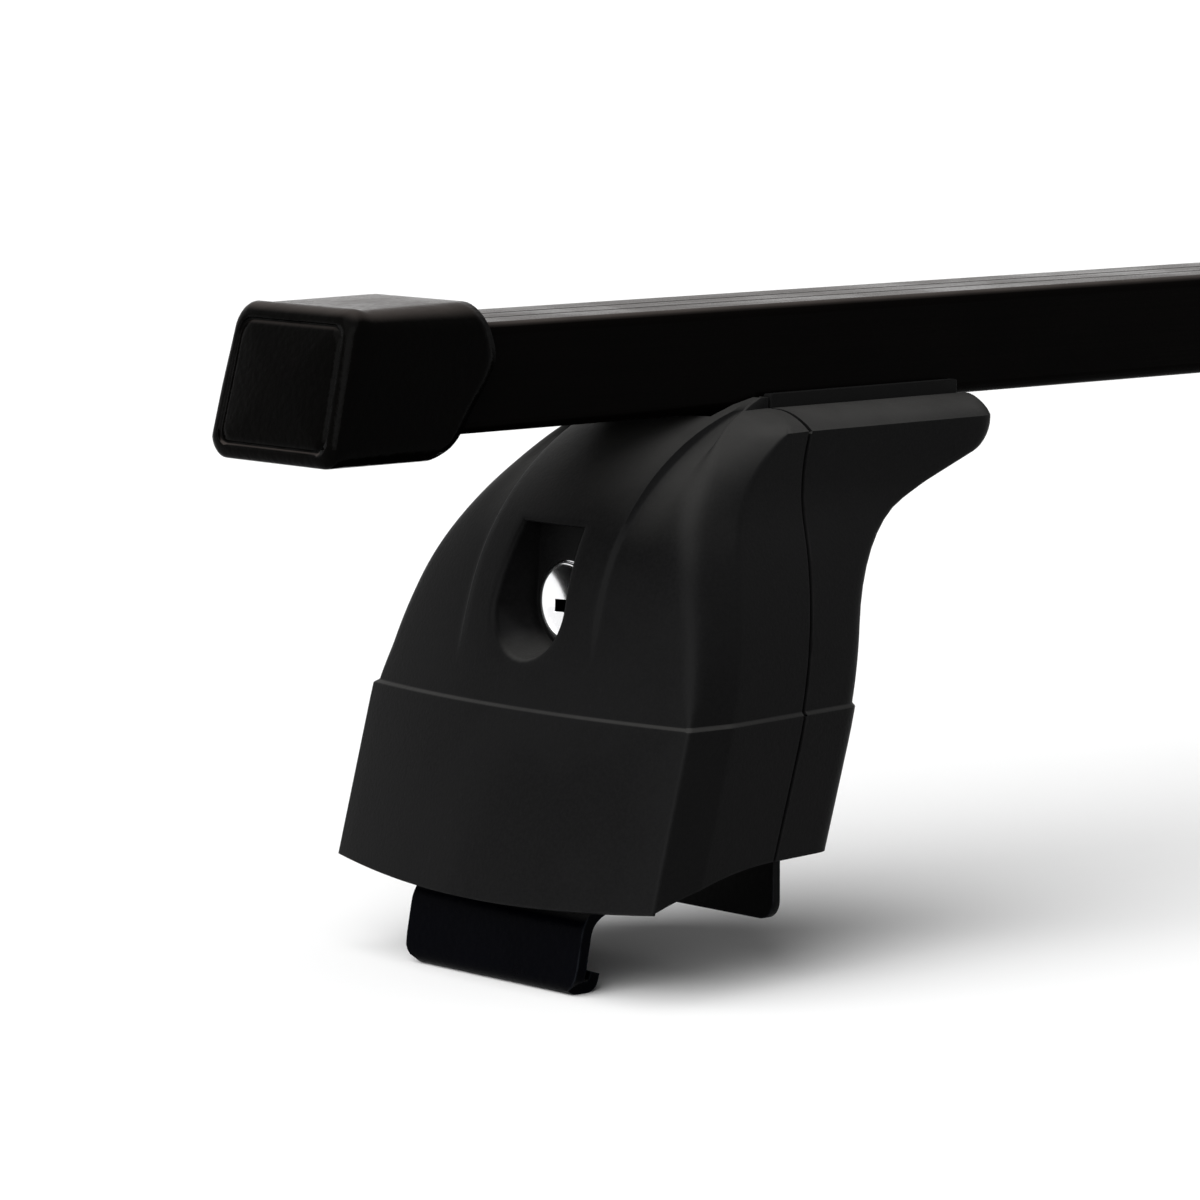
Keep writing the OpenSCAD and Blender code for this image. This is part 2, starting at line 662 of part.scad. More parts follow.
// Plate inboard of the rail, bent from a base leg under the frame
module inner_jaw() {
    r = 4;
    half = inner_jaw_w / 2;
    x1 = inner_jaw_x + inner_jaw_t;
    color([0.07, 0.07, 0.08]) difference() {
        union() {
            along_x(inner_jaw_x, x1) {
                translate([-half, inner_jaw_low_z + r]) square([2 * half, screw_z + 7 - inner_jaw_low_z - r]);
                translate([r - half, inner_jaw_low_z]) square([2 * (half - r), 2 * r]);
                for (s = [-1, 1]) translate([s * (half - r), inner_jaw_low_z + r]) circle(r);
            }
            box([frame_toe_x, -rail_pad_w / 2, -foot_drop], [x1, rail_pad_w / 2, frame_foot_z]);
        }
        along_x(inner_jaw_x - 1, x1 + 1)
            translate([-jaw_notch_w / 2, frame_foot_z]) square([jaw_notch_w, reach]);
        for (s = [-1, 1]) x_cylinder(-reach, 0, s * screw_y, screw_z, screw_d + 0.4);
    }
}

module rail_pad() {
    color([0.05, 0.05, 0.05])
        box([frame_toe_x, -rail_pad_w / 2, -foot_drop - rail_pad_t],
            [inner_jaw_x, rail_pad_w / 2, -foot_drop]);
}

// Bent hook plate: curled lip, upright face, sloping shoulder and a narrow tab for the clamp bolt
module outer_jaw() {
    x = jaw_x + jaw_t / 2;
    tab = jaw_tab_x + jaw_t / 2;
    lip = x + jaw_lip - jaw_t;
    bottom = -rest_h + jaw_t / 2;
    top = x + (jaw_face_z - bottom - 2) * jaw_lean;
    shoulder_z = jaw_face_z + 5;
    path = [[lip + 0.4, bottom + 2.2], [lip - 0.6, bottom + 0.4], [lip - 1.8, bottom], [x + 1.6, bottom],
        [x + 0.4, bottom + 0.5], [x, bottom + 1.8], [top, jaw_face_z - 1], [top + 1, jaw_face_z + 1],
        [top + 2.6, jaw_face_z + 2.4], [tab - 1.6, shoulder_z - 0.5], [tab - 0.4, shoulder_z + 0.3],
        [tab, shoulder_z + 1.7], [tab, jaw_tab_top_z]];
    color([0.10, 0.11, 0.14]) difference() {
        intersection() {
            across(jaw_w) bent_sheet(path, jaw_t);
            along_x(-reach, 0) translate([0, reach / 2 - rest_h]) rounded_rect(jaw_w, reach, jaw_corner_r);
        }
        x_cylinder(-reach, 0, 0, clamp_z, clamp_d + 2 * fit);
        for (s = [-1, 1]) translate([tab + 2, s * (jaw_tab_w + jaw_w) / 2, shoulder_z + 10])
            cube([10, jaw_w, 40], center = true);
        for (s = [-1, 1]) translate([tab, s * (jaw_tab_w / 2 + 3), shoulder_z])
            cube([11, 6, 12], center = true);
    }
}

// Socket head bolt that draws the outer jaw inboard
module clamp_bolt() {
    seat = jaw_tab_x - washer_t;
    color([0.5, 0.5, 0.52]) difference() {
        union() {
            x_cylinder(seat - clamp_head_h, seat, 0, clamp_z, clamp_head_d);
            x_cylinder(seat - 1, seat + clamp_len, 0, clamp_z, clamp_d);
        }
        x_cylinder(seat - clamp_head_h - 1, seat - 1, 0, clamp_z, 5.8, 6);
    }
}

module clamp_washer() {
    color([0.62, 0.62, 0.64]) difference() {
        x_cylinder(jaw_tab_x - washer_t, jaw_tab_x, 0, clamp_z, 16);
        x_cylinder(jaw_tab_x - washer_t - 1, jaw_tab_x + 1, 0, clamp_z, clamp_d + 0.4);
    }
}

// Threaded block held between the frame's legs
module clamp_nut() {
    w = frame_w - 2 * frame_t;
    color([0.5, 0.5, 0.52]) difference() {
        box([frame_front_x, -w / 2, clamp_z - 7], [frame_front_x + nut_block_len, w / 2, clamp_z + 7]);
        x_cylinder(-reach, 0, 0, clamp_z, clamp_d + 2 * fit);
    }
}

module shell_screws() {
    color([0.3, 0.3, 0.32]) for (s = [-1, 1]) {
        x_cylinder(inner_jaw_x - 2, inner_jaw_x, s * screw_y, screw_z, 7);
        x_cylinder(inner_jaw_x - 1, inner_jaw_x + screw_len, s * screw_y, screw_z, screw_d);
    }
}

bar_tube();
bar_sheath();
at_left() end_cap();  // end_cap_left
at_right() end_cap();  // end_cap_right
at_left() cover();  // cover_left
at_left() inner_shell();  // inner_shell_left
at_left() saddle_pad();  // saddle_pad_left
at_left() foot_frame();  // foot_frame_left
at_left() strike_plate();  // strike_plate_left
at_left() lock_housing();  // lock_housing_left
at_left() lock_plug();  // lock_plug_left
at_left() lock_cam();  // lock_cam_left
at_left() cam_screw();  // cam_screw_left
at_left() t_bolts();  // t_bolts_left
at_left() bar_washers();  // bar_washers_left
at_left() bar_nuts();  // bar_nuts_left
at_left() inner_jaw();  // inner_jaw_left
at_left() rail_pad();  // rail_pad_left
at_left() outer_jaw();  // outer_jaw_left
at_left() clamp_bolt();  // clamp_bolt_left
at_left() clamp_washer();  // clamp_washer_left
at_left() clamp_nut();  // clamp_nut_left
at_left() shell_screws();  // shell_screws_left
at_right() cover();  // cover_right
at_right() inner_shell();  // inner_shell_right
at_right() saddle_pad();  // saddle_pad_right
at_right() foot_frame();  // foot_frame_right
at_right() strike_plate();  // strike_plate_right
at_right() lock_housing();  // lock_housing_right
at_right() lock_plug();  // lock_plug_right
at_right() lock_cam();  // lock_cam_right
at_right() cam_screw();  // cam_screw_right
at_right() t_bolts();  // t_bolts_right
at_right() bar_washers();  // bar_washers_right
at_right() bar_nuts();  // bar_nuts_right
at_right() inner_jaw();  // inner_jaw_right
at_right() rail_pad();  // rail_pad_right
at_right() outer_jaw();  // outer_jaw_right
at_right() clamp_bolt();  // clamp_bolt_right
at_right() clamp_washer();  // clamp_washer_right
at_right() clamp_nut();  // clamp_nut_right
at_right() shell_screws();  // shell_screws_right
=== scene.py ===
"""Looks of a crossbar roof rack with two lockable feet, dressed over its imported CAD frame."""

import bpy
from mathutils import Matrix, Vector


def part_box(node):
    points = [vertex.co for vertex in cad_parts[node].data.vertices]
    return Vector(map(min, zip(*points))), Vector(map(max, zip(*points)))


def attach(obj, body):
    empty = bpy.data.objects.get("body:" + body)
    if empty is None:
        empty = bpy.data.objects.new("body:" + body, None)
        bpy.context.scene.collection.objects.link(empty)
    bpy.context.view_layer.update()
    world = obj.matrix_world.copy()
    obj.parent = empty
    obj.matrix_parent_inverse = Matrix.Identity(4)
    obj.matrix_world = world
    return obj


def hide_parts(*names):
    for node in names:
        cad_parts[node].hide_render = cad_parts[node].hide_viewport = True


bl_info = {
    "name": "Roof rack looks",
    "version": (1, 0, 0),
    "blender": (4, 5, 0),
    "location": "View3D > Sidebar > Roof rack",
    "description": "Builds the moulded shells, end caps, jaws, locks and finishes of a crossbar roof rack",
    "category": "Object",
}

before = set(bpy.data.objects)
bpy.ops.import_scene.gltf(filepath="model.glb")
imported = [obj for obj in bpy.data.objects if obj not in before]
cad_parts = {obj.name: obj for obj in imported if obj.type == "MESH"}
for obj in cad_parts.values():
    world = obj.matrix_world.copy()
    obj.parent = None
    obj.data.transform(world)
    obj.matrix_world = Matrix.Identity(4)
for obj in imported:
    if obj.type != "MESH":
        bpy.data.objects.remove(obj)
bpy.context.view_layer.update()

import math

import bmesh
import bpy
from bpy.props import FloatProperty, FloatVectorProperty, PointerProperty
from mathutils import Matrix, Vector

MM = 0.001
SIDES = ("left", "right")
BAR_TOP_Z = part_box("bar_sheath")[1].z
BAR_LOW_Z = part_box("bar_sheath")[0].z
BAR_END_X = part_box("bar_sheath")[0].x
BAR_HALF_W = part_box("bar_sheath")[1].y
# Gap between the CAD's two shells
SEAM_GAP = 0.7 * MM
# The foot's own frame: x = 0 at the top of the seam, z = 0 on top of the bar
SEAM_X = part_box("cover_left")[1].x + SEAM_GAP / 2
FOOT_Z = BAR_TOP_Z


# Sizes and colours

class RackFootSizes(bpy.types.PropertyGroup):
    """Sizes of the moulded foot, in its own frame."""

    skirt_half_width: FloatProperty(name="Skirt half width", default=47 * MM, unit="LENGTH",
        description="Half width of the shells at the seam, near the ground")
    wing_half_width: FloatProperty(name="Wing half width", default=31 * MM, unit="LENGTH",
        description="Half width of the wing under the bar")
    drop: FloatProperty(name="Foot drop", default=110 * MM, unit="LENGTH",
        description="Height of the skirt's edge below the top of the bar")
    shell_depth: FloatProperty(name="Inner shell depth", default=18.3 * MM, unit="LENGTH",
        description="Depth of the inner shell behind the seam")
    wing_length: FloatProperty(name="Wing length", default=55 * MM, unit="LENGTH",
        description="Length of the wing behind the seam")
    wall: FloatProperty(name="Wall", default=2.2 * MM, unit="LENGTH",
        description="Wall of the moulded shells")
    step: FloatProperty(name="Skirt step", default=0.8 * MM, unit="LENGTH",
        description="How far the skirt stands proud of the body above it")
    crease: FloatProperty(name="Crease height", default=0.95 * MM, unit="LENGTH",
        description="How far the band between the creases stands proud")
    pocket_width: FloatProperty(name="Pocket width", default=21 * MM, unit="LENGTH",
        description="Width of the pocket round the lock")
    lock_drop: FloatProperty(name="Lock drop", default=60.5 * MM, unit="LENGTH",
        description="Height of the lock's axis below the top of the bar")


class RackCapSizes(bpy.types.PropertyGroup):
    """Sizes of the end caps."""

    top_length: FloatProperty(name="Top length", default=39 * MM, unit="LENGTH",
        description="Length of the cap along its top")
    face_lean: FloatProperty(name="Face lean", default=6.5 * MM, unit="LENGTH",
        description="How far the top of the face lies inboard of its foot")
    corner: FloatProperty(name="Corner radius", default=6.4 * MM, unit="LENGTH",
        description="Radius of the cap's long upper corners at its rim")
    panel_inset: FloatProperty(name="Panel inset", default=3.1 * MM, unit="LENGTH",
        description="Width of the border round the panel on the cap's face")
    dome: FloatProperty(name="Dome", default=0.9 * MM, unit="LENGTH",
        description="How far the middle of the panel stands before its edge")


class RackJawSizes(bpy.types.PropertyGroup):
    """Sizes of the outer jaw."""

    sheet: FloatProperty(name="Sheet", default=2.5 * MM, unit="LENGTH",
        description="Thickness of the jaw's plate")
    corner: FloatProperty(name="Corner radius", default=3 * MM, unit="LENGTH",
        description="Radius of the jaw's four outer corners")


class RackColours(bpy.types.PropertyGroup):
    """Colours of the finishes, as written values."""

    foot: FloatVectorProperty(name="Foot plastic", subtype="COLOR", size=3, min=0, max=1,
        default=(0.005, 0.005, 0.0051), description="Charcoal plastic of the foot's shells")
    sheath: FloatVectorProperty(name="Bar sheath", subtype="COLOR", size=3, min=0, max=1,
        default=(0.0009, 0.0007, 0.0006), description="Black plastic skin of the bar")
    cap: FloatVectorProperty(name="End cap", subtype="COLOR", size=3, min=0, max=1,
        default=(0.0009, 0.0008, 0.0007), description="Black plastic of the end caps")
    jaw: FloatVectorProperty(name="Jaw paint", subtype="COLOR", size=3, min=0, max=1,
        default=(0.0003, 0.00035, 0.0009), description="Blue-black powder coat of the outer jaws")
    chrome: FloatVectorProperty(name="Lock chrome", subtype="COLOR", size=3, min=0, max=1,
        default=(0.93, 0.93, 0.94), description="Bright plating of the lock's face")
    zinc: FloatVectorProperty(name="Zinc plating", subtype="COLOR", size=3, min=0, max=1,
        default=(0.52, 0.53, 0.54), description="Plating of the bolts, nuts and washers")
    steel: FloatVectorProperty(name="Frame steel", subtype="COLOR", size=3, min=0, max=1,
        default=(0.3, 0.31, 0.32), description="Bare steel of the bracket and the bar's tube")
    rubber: FloatVectorProperty(name="Rubber", subtype="COLOR", size=3, min=0, max=1,
        default=(0.0045, 0.0045, 0.0045), description="Rubber of the saddle and rail pads")
    plate: FloatVectorProperty(name="Plate paint", subtype="COLOR", size=3, min=0, max=1,
        default=(0.001, 0.001, 0.0011), description="Black paint of the inner jaws")
    # Warm dust and a painted warm sheen of the light from above, on the upward faces of the bar and the
    # caps
    dust: FloatVectorProperty(name="Dust", subtype="COLOR", size=3, min=0, max=1,
        default=(0.055, 0.047, 0.043), description="Warm dust on the top of the bar and the caps")
    foot_worn: FloatVectorProperty(name="Rubbed plastic", subtype="COLOR", size=3, min=0, max=1,
        default=(0.03, 0.03, 0.03), description="Plastic where its edges are rubbed")
    jaw_worn: FloatVectorProperty(name="Rubbed paint", subtype="COLOR", size=3, min=0, max=1,
        default=(0.03, 0.034, 0.042), description="Paint where its edges are rubbed")


# Small helpers

def smooth(a, b, v):
    """Rises smoothly from 0 at a to 1 at b."""
    t = min(1.0, max(0.0, (v - a) / (b - a)))
    return t * t * (3 - 2 * t)


def lerp(a, b, t):
    """The value a share t of the way from a to b."""
    return a + (b - a) * t


def spread(a, b, n):
    """n equal steps from a to b, both ends included."""
    return [a + (b - a) * i / n for i in range(n + 1)]


def round_corner(before, corner, after, reach, n):
    """Points of a soft corner that starts and ends reach away from it, in n steps."""
    corner = Vector(corner)
    start = corner + (Vector(before) - corner).normalized() * reach
    end = corner + (Vector(after) - corner).normalized() * reach
    return [start * (1 - t) ** 2 + corner * 2 * t * (1 - t) + end * t ** 2 for t in spread(0, 1, n)]


def grid_of(columns, rows, point):
    """A sheet of columns by rows points, each placed by point(column, row)."""
    bm = bmesh.new()
    made = bmesh.ops.create_grid(bm, x_segments=columns - 1, y_segments=rows - 1, size=0.5)
    for v in made["verts"]:
        column = round((v.co.x + 0.5) * (columns - 1))
        row = round((v.co.y + 0.5) * (rows - 1))
        v.co = point(column, row)
    return bm


def extrude_loop(bm, edges, place):
    """Extrudes a loop of edges and puts each new point at place(old point)."""
    made = bmesh.ops.extrude_edge_only(bm, edges=edges)["geom"]
    for v in (g for g in made if isinstance(g, bmesh.types.BMVert)):
        v.co = place(v.co.copy())
    return [g for g in made if isinstance(g, bmesh.types.BMEdge)]


def open_edges(bm, test):
    """Open edges whose middle passes the test."""
    return [e for e in bm.edges if e.is_boundary and test((e.verts[0].co + e.verts[1].co) / 2)]


def face_outward(bm, centre):
    """Turns an open sheet so that it faces away from centre."""
    centre = Vector(centre)
    bmesh.ops.recalc_face_normals(bm, faces=bm.faces)
    bm.normal_update()
    vote = sum(f.calc_area() * f.normal.dot(f.calc_center_median() - centre) for f in bm.faces)
    if vote < 0:
        bmesh.ops.reverse_faces(bm, faces=bm.faces)


def cut_channel(bm, floor_z, half_w):
    """Cuts the bar's channel out of a sheet: all above floor_z and less than half_w from the middle."""
    def faces_above():
        return [f for f in bm.faces if f.calc_center_median().z > floor_z]

    for side in (-1, 1):
        top = faces_above()
        geom = top + list({e for f in top for e in f.edges}) + list({v for f in top for v in f.verts})
        bmesh.ops.bisect_plane(bm, geom=geom, plane_co=(0, side * half_w, 0), plane_no=(0, 1, 0))
    inside = [f for f in faces_above() if abs(f.calc_center_median().y) < half_w]
    bmesh.ops.delete(bm, geom=inside, context="FACES")


def at_foot(bm, side):
    """Moves a bmesh from the foot's own frame to the left or right end of the bar."""
    bmesh.ops.translate(bm, verts=bm.verts, vec=(SEAM_X, 0, FOOT_Z))
    if side == "right":
        bmesh.ops.scale(bm, verts=bm.verts, vec=(-1, 1, 1))
        bmesh.ops.reverse_faces(bm, faces=bm.faces)


def piece_from(bm, name, body, material, nodes):
    """Makes the finished mesh an object that rides on a body and stands for CAD nodes."""
    mesh = bpy.data.meshes.new(name)
    bm.to_mesh(mesh)
    bm.free()
    for polygon in mesh.polygons:
        polygon.use_smooth = True
    mesh.materials.append(material)
    piece = bpy.data.objects.new(name, mesh)
    bpy.context.scene.collection.objects.link(piece)
    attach(piece, body)
    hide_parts(*nodes)
    return piece


def piece_at_each_end(make, name, body, finish, cad_name):
    """Makes a piece for both ends of the bar: make() gives its mesh in the foot's own frame.

    The piece rides on the body of its own side, unless that is the bar itself."""
    material = finish(bpy.context.scene.rack_colours)
    pieces = []
    for side in SIDES:
        bm = make()
        at_foot(bm, side)
        carrier = body if body == "bar" else f"{body}_{side}"
        pieces.append(piece_from(bm, f"{name}_{side}", carrier, material,
                                 [f"{cad_name}_{side}"]))
    return pieces


def add_wall(piece, thickness, offset=-1.0):
    """Gives a sheet its wall: inwards, or to both sides with an offset of 0."""
    wall = piece.modifiers.new("wall", "SOLIDIFY")
    wall.thickness = thickness
    wall.offset = offset
    wall.use_even_offset = True
    wall.use_quality_normals = True


def add_bevel(piece, width, segments=2, angle=35):
    """Rounds the edges that turn by more than an angle in degrees."""
    bevel = piece.modifiers.new("edges", "BEVEL")
    bevel.width = width
    bevel.segments = segments
    bevel.limit_method = "ANGLE"
    bevel.angle_limit = math.radians(angle)
    bevel.miter_outer = "MITER_ARC"
    bevel.harden_normals = True


# Form of the foot

# Width of the rounded edges of the shells' walls
SHELL_EDGE = 0.4 * MM
# Each shell stops this far from the seam
SEAM_OPEN = 0.48 * MM
# Width of the steep edge of the crease, beside the raised band
CREASE_RIM = 0.4 * MM
# Square of the cover's front that is opened for the lock's pocket, and the pocket in it
POCKET_HALF_W = 14 * MM
POCKET_LOW_Z = -76 * MM
POCKET_HIGH_Z = -40.5 * MM
POCKET_TOP_Z = -44 * MM
POCKET_FLOOR_X = -39 * MM
POCKET_TAPER = 0.13
LOCK_BORE_R = 9.05 * MM
# Square of the wing's underside that is opened for the well, and the well in it
WELL_HALF_W = 12.5 * MM
WELL_X = 36 * MM
WELL_R = 10 * MM
WELL_DEPTH_Z = -30.6 * MM
# Rows over the skirt's step, as heights above it in millimetres
STEP_ROWS = (-1.4, -0.55, -0.4, -0.15, 0.15, 0.4, 0.6, 1.5)
# Rows of the cover between its arched edge and the first row at the step
SKIRT_ROWS = 11


class FootForm:
    """Outline of the foot's shells, worked out from its sizes.

    It follows the CAD solids, and adds the creases, the sunk flanks and the soft corners."""

    front_lean = 0.274
    seam_lean = 0.301
    arc_r = 53.5 * MM
    arc_top_z = -18.6 * MM
    knee_x = -49 * MM
    seam_knee_z = -25 * MM
    bulge = 5.2 * MM
    band_length = 10.8 * MM
    side_taper = 0.14
    roof_low_z = -25.2 * MM
    roof_top_z = -21.3 * MM
    roof_half_w = 18.6 * MM
    roof_flat_w = 20.5 * MM
    saddle_top_z = -25.1 * MM
    saddle_half_w = 18.8 * MM
    channel_z = -22.3 * MM
    channel_half_w = 16.3 * MM
    cover_top_z = -19 * MM
    step_z = -80.6 * MM
    skirt_arc_r = 97 * MM
    side_low_z = -88 * MM
    side_top_z = -27 * MM
    side_hollow_r = 35 * MM
    wing_slope = 0.38
    wing_low_z = -32.8 * MM
    sweep_r = 37 * MM
    tip_r = 7.4 * MM
    tip_bulge = 2.6 * MM
    end_step = 0.25 * MM
    # The cover's front corner stands this far past the seam's width low down, and narrows to the top
    corner_past = 2 * MM
    corner_top_w = 17.9 * MM
    # The band behind the corner is at most this much wider than the seam
    band_past = 4 * MM
    band_corner = 1.1 * MM
    # Half width of the raised band low down and at the top
    crease_low_z, crease_low_w = -71.5 * MM, 20.5 * MM
    crease_top_z, crease_top_w = -22.3 * MM, 18.5 * MM
    flank_sink = 1.9 * MM
    # Heights between which a form begins, ends or changes
    crease_begins = (-74 * MM, -60 * MM)
    crease_ends = (-20.4 * MM, -19.2 * MM)
    flank_sinks = (-52 * MM, -26 * MM)
    flank_ends = (-21 * MM, -19.4 * MM)
    crease_nears_corner = (-30 * MM, -23 * MM)
    corner_tightens = (-32 * MM, -24 * MM)

    def __init__(self, sizes):
        self.sizes = sizes
        lean = math.atan(self.front_lean)
        self.arc_x = self.knee_x + self.arc_r * math.cos(lean)
        self.arc_z = self.arc_top_z - self.arc_r
        self.knee_z = self.arc_z + self.arc_r * math.sin(lean)
        rise = self.side_top_z - self.side_low_z
        self.side_a = 2 * math.atan((sizes.skirt_half_width - sizes.wing_half_width) / rise)
        self.side_r = rise / math.sin(self.side_a) - self.side_hollow_r
        self.wing_low_x = sizes.wing_length - 5 * MM
        wall_a = math.pi / 2 - math.atan(self.seam_lean)
        wing_a = math.atan(self.wing_slope)
        # Where the inboard wall would meet the wing's underside, before the sweep rounds the corner
        rise = self.wing_low_z - self.wing_slope * self.wing_low_x - self.seam_knee_z
        knee_x = (sizes.shell_depth + self.seam_lean * rise) / (1 - self.seam_lean * self.wing_slope)
        knee_z = self.wing_low_z + (knee_x - self.wing_low_x) * self.wing_slope
        reach = self.sweep_r * math.tan((wall_a - wing_a) / 2)
        self.sweep_x = knee_x - reach * math.cos(wall_a) + self.sweep_r * math.sin(wall_a)
        self.sweep_z = knee_z - reach * math.sin(wall_a) - self.sweep_r * math.cos(wall_a)
        self.sweep_levels = [self.sweep_z + self.sweep_r * math.cos(a) for a in spread(wall_a, wing_a, 8)]
        # Round nose of the wing, between its underside and its end
        self.tip_x = sizes.wing_length - self.tip_r
        self.tip_z = (self.wing_low_z + (self.tip_x - self.wing_low_x) * self.wing_slope
                      + self.tip_r / math.cos(wing_a))
        self.nose_x = self.tip_x + self.tip_r * math.sin(wing_a)
        self.nose_z = self.tip_z - self.tip_r * math.cos(wing_a)

    def front_x(self, z):
        """The cover's front at the middle: a leaning wall, then an arch up to the bar."""
        if z < self.knee_z:
            return self.knee_x + (z - self.knee_z) * self.front_lean
        return self.arc_x - math.sqrt(self.arc_r ** 2 - (z - self.arc_z) ** 2)

    def seam_x(self, z):
        """The seam, upright under the bar and leaning below."""
        return min(0.0, (z - self.seam_knee_z) * self.seam_lean)

    def side_w(self, z):
        """Half width of the splayed side, which is round low down and hollow above."""
        sizes = self.sizes
        if z < self.side_low_z:
            return sizes.skirt_half_width
        if z > self.side_top_z:
            return sizes.wing_half_width
        if z < self.side_top_z - self.side_hollow_r * math.sin(self.side_a):
            share = (z - self.side_low_z) / self.side_r
            return sizes.skirt_half_width - self.side_r * (1 - math.sqrt(1 - share ** 2))
        share = (self.side_top_z - z) / self.side_hollow_r
        return sizes.wing_half_width + self.side_hollow_r * (1 - math.sqrt(1 - share ** 2))

    def seam_w(self, z):
        """Half width at the seam, with the roof slope beside the bar."""
        if z < self.roof_low_z:
            return self.side_w(z)
        if z > self.roof_top_z + 0.01 * MM:
            return self.roof_half_w
        share = min(1.0, (z - self.roof_low_z) / (self.roof_top_z - self.roof_low_z))
        return lerp(self.sizes.wing_half_width, self.roof_flat_w, 1 - math.sqrt(1 - share))

    def roof_levels(self):
        """Heights of the rows over the rounded roof beside the bar."""
        rise = self.roof_top_z - self.roof_low_z
        return ([self.roof_low_z + rise * (1 - (1 - t) ** 2) for t in spread(0, 1, 6)]
                + [self.roof_top_z + 0.03 * MM])

    def corner_w(self, z):
        """Half width of the cover's front corners, which close in over the arch."""
        low = self.sizes.skirt_half_width + self.corner_past
        fall = self.cover_top_z - self.step_z + 4 * MM
        share = min(1.0, max(0.0, (self.cover_top_z + 0.4 * MM - z) / fall))
        return self.corner_top_w + (low - self.corner_top_w) * math.sin(math.pi / 2 * share)

    def crease_w(self, z):
        """Half width of the raised band between the creases."""
        along = (z - self.crease_low_z) / (self.crease_top_z - self.crease_low_z)
        near = lerp(0.86, 0.93, smooth(*self.crease_nears_corner, z))
        return min(lerp(self.crease_low_w, self.crease_top_w, along), near * self.corner_w(z))

    def raised(self, y, z):
        """How far the band between the creases stands proud here, or the flank beside it is sunk."""
        along = smooth(*self.crease_begins, z) * (1 - smooth(*self.crease_ends, z))
        deep = smooth(*self.flank_sinks, z)
        # Over the arch the front lies flatter, so a level cut has to sink further
        level = min(1.0, max(0.0, (z - self.arc_z) / self.arc_r))
        flat = max(0.6, math.sqrt(1 - level ** 2))
        sink = self.flank_sink * deep * (1 - smooth(*self.flank_ends, z)) / flat
        crease, fillet = self.sizes.crease, lerp(1.3, 2.5, deep) * MM
        past = abs(y) - self.crease_w(z)
        if past < 0:
            return crease * along * (1 - 0.25 * smooth(-0.5 * MM, 0, past))
        edge = crease * along * 0.75 + sink
        if past < CREASE_RIM:
            hollow = edge * (1 - 0.6 * past / CREASE_RIM)
        else:
            hollow = 0.4 * edge * (1 - min(1.0, (past - CREASE_RIM) / fillet)) ** 2
        return hollow - sink * (1 - smooth(4 * MM, 12 * MM, past))

    def skirt_out(self, z):
        """How far the skirt stands proud at this height."""
        return self.sizes.step * (1 - smooth(self.step_z - 0.4 * MM, self.step_z + 0.4 * MM, z))

    def front_point(self, y, z):
        """Point of the cover's front face."""
        out = self.skirt_out(z)
        room = self.seam_x(z) - self.front_x(z) + out
        bulge = min(self.bulge, 0.4 * room)
        x = self.front_x(z) - out + bulge * (y / (self.corner_w(z) + out)) ** 2
        return Vector((x - self.raised(y, z), y, z))

    def skirt_edge_z(self, x):
        """Height of the arched lower edge of the skirt."""
        run = x - self.seam_x(-self.sizes.drop)
        return -self.sizes.drop - self.skirt_arc_r + math.sqrt(self.skirt_arc_r ** 2 - run ** 2)

    def front_ys(self, z, end):
        """Places across half the cover's front, up to end, with close ones beside the crease."""
        crease = self.crease_w(z)
        inner = min(POCKET_HALF_W, crease - 2 * MM)
        past = min(3.6 * MM, max(0.25 * MM, 0.8 * (end - crease)))
        ys = [inner * t for t in spread(0, 1, 5)] + spread(inner, crease - 0.5 * MM, 3)[1:]
        ys += [crease - 0.2 * MM, crease, crease + min(CREASE_RIM, 0.12 * past)]
        ys += [crease + past * t for t in (0.22, 0.36, 0.54, 0.76, 1)]
        return ys + spread(ys[-1], end, 5)[1:]

    def cover_half(self, z):
        """Half a level section of the cover, from the middle of its front to the seam."""
        out = self.skirt_out(z)
        xf = self.front_x(z) - out
        xs = self.seam_x(z) - SEAM_OPEN
        room = self.seam_x(z) - xf
        bulge = min(self.bulge, 0.4 * room)
        xb = xf + min(bulge + self.band_length, 0.75 * room)
        wc = self.corner_w(z) + out
        ws = self.seam_w(z) + out
        wb = max(ws, min(ws + self.side_taper * (xs - xb), ws + self.band_past))
        corner, band, seam = Vector((xf + bulge, wc)), Vector((xb, wb)), Vector((xs, ws))
        body = smooth(self.step_z - 1 * MM, self.step_z + 9 * MM, z)
        tight = lerp(1, 0.3, smooth(*self.corner_tightens, z))
        reach = min(lerp(0.9, 3.4, body) * tight * MM, 0.42 * (band - corner).length,
                    0.4 * (seam - band).length)
        half = [Vector((xf + bulge * (y / wc) ** 2 - self.raised(y, z), y))
                for y in self.front_ys(z, wc - reach)]
        half += round_corner(half[-1], corner, band, reach, 5)[1:]
        late = round_corner(corner, band, seam, min(self.band_corner, reach), 5)
        half += [half[-1].lerp(late[0], t) for t in spread(0, 1, 4)][1:] + late[1:]
        return half + [half[-1].lerp(seam, t) for t in spread(0, 1, 9)][1:]

    def end_x(self, z):
        """Inboard end of the inner shell: a wall, a hollow sweep and the wing's underside and tip."""
        sizes = self.sizes
        if z < self.sweep_levels[0]:
            return sizes.shell_depth + self.seam_lean * (z - self.seam_knee_z)
        if z < self.sweep_levels[-1]:
            return self.sweep_x - math.sqrt(self.sweep_r ** 2 - (z - self.sweep_z) ** 2)
        if z < self.nose_z:
            return self.wing_low_x + (z - self.wing_low_z) / self.wing_slope
        return self.tip_x + math.sqrt(self.tip_r ** 2 - min(0.0, z - self.tip_z) ** 2)

    def end_z(self, x):
        """Height of the wing's underside above the place x."""
        low, high = self.sweep_levels[0], self.nose_z
        for _ in range(40):
            middle = (low + high) / 2
            low, high = (middle, high) if self.end_x(middle) < x else (low, middle)
        return (low + high) / 2

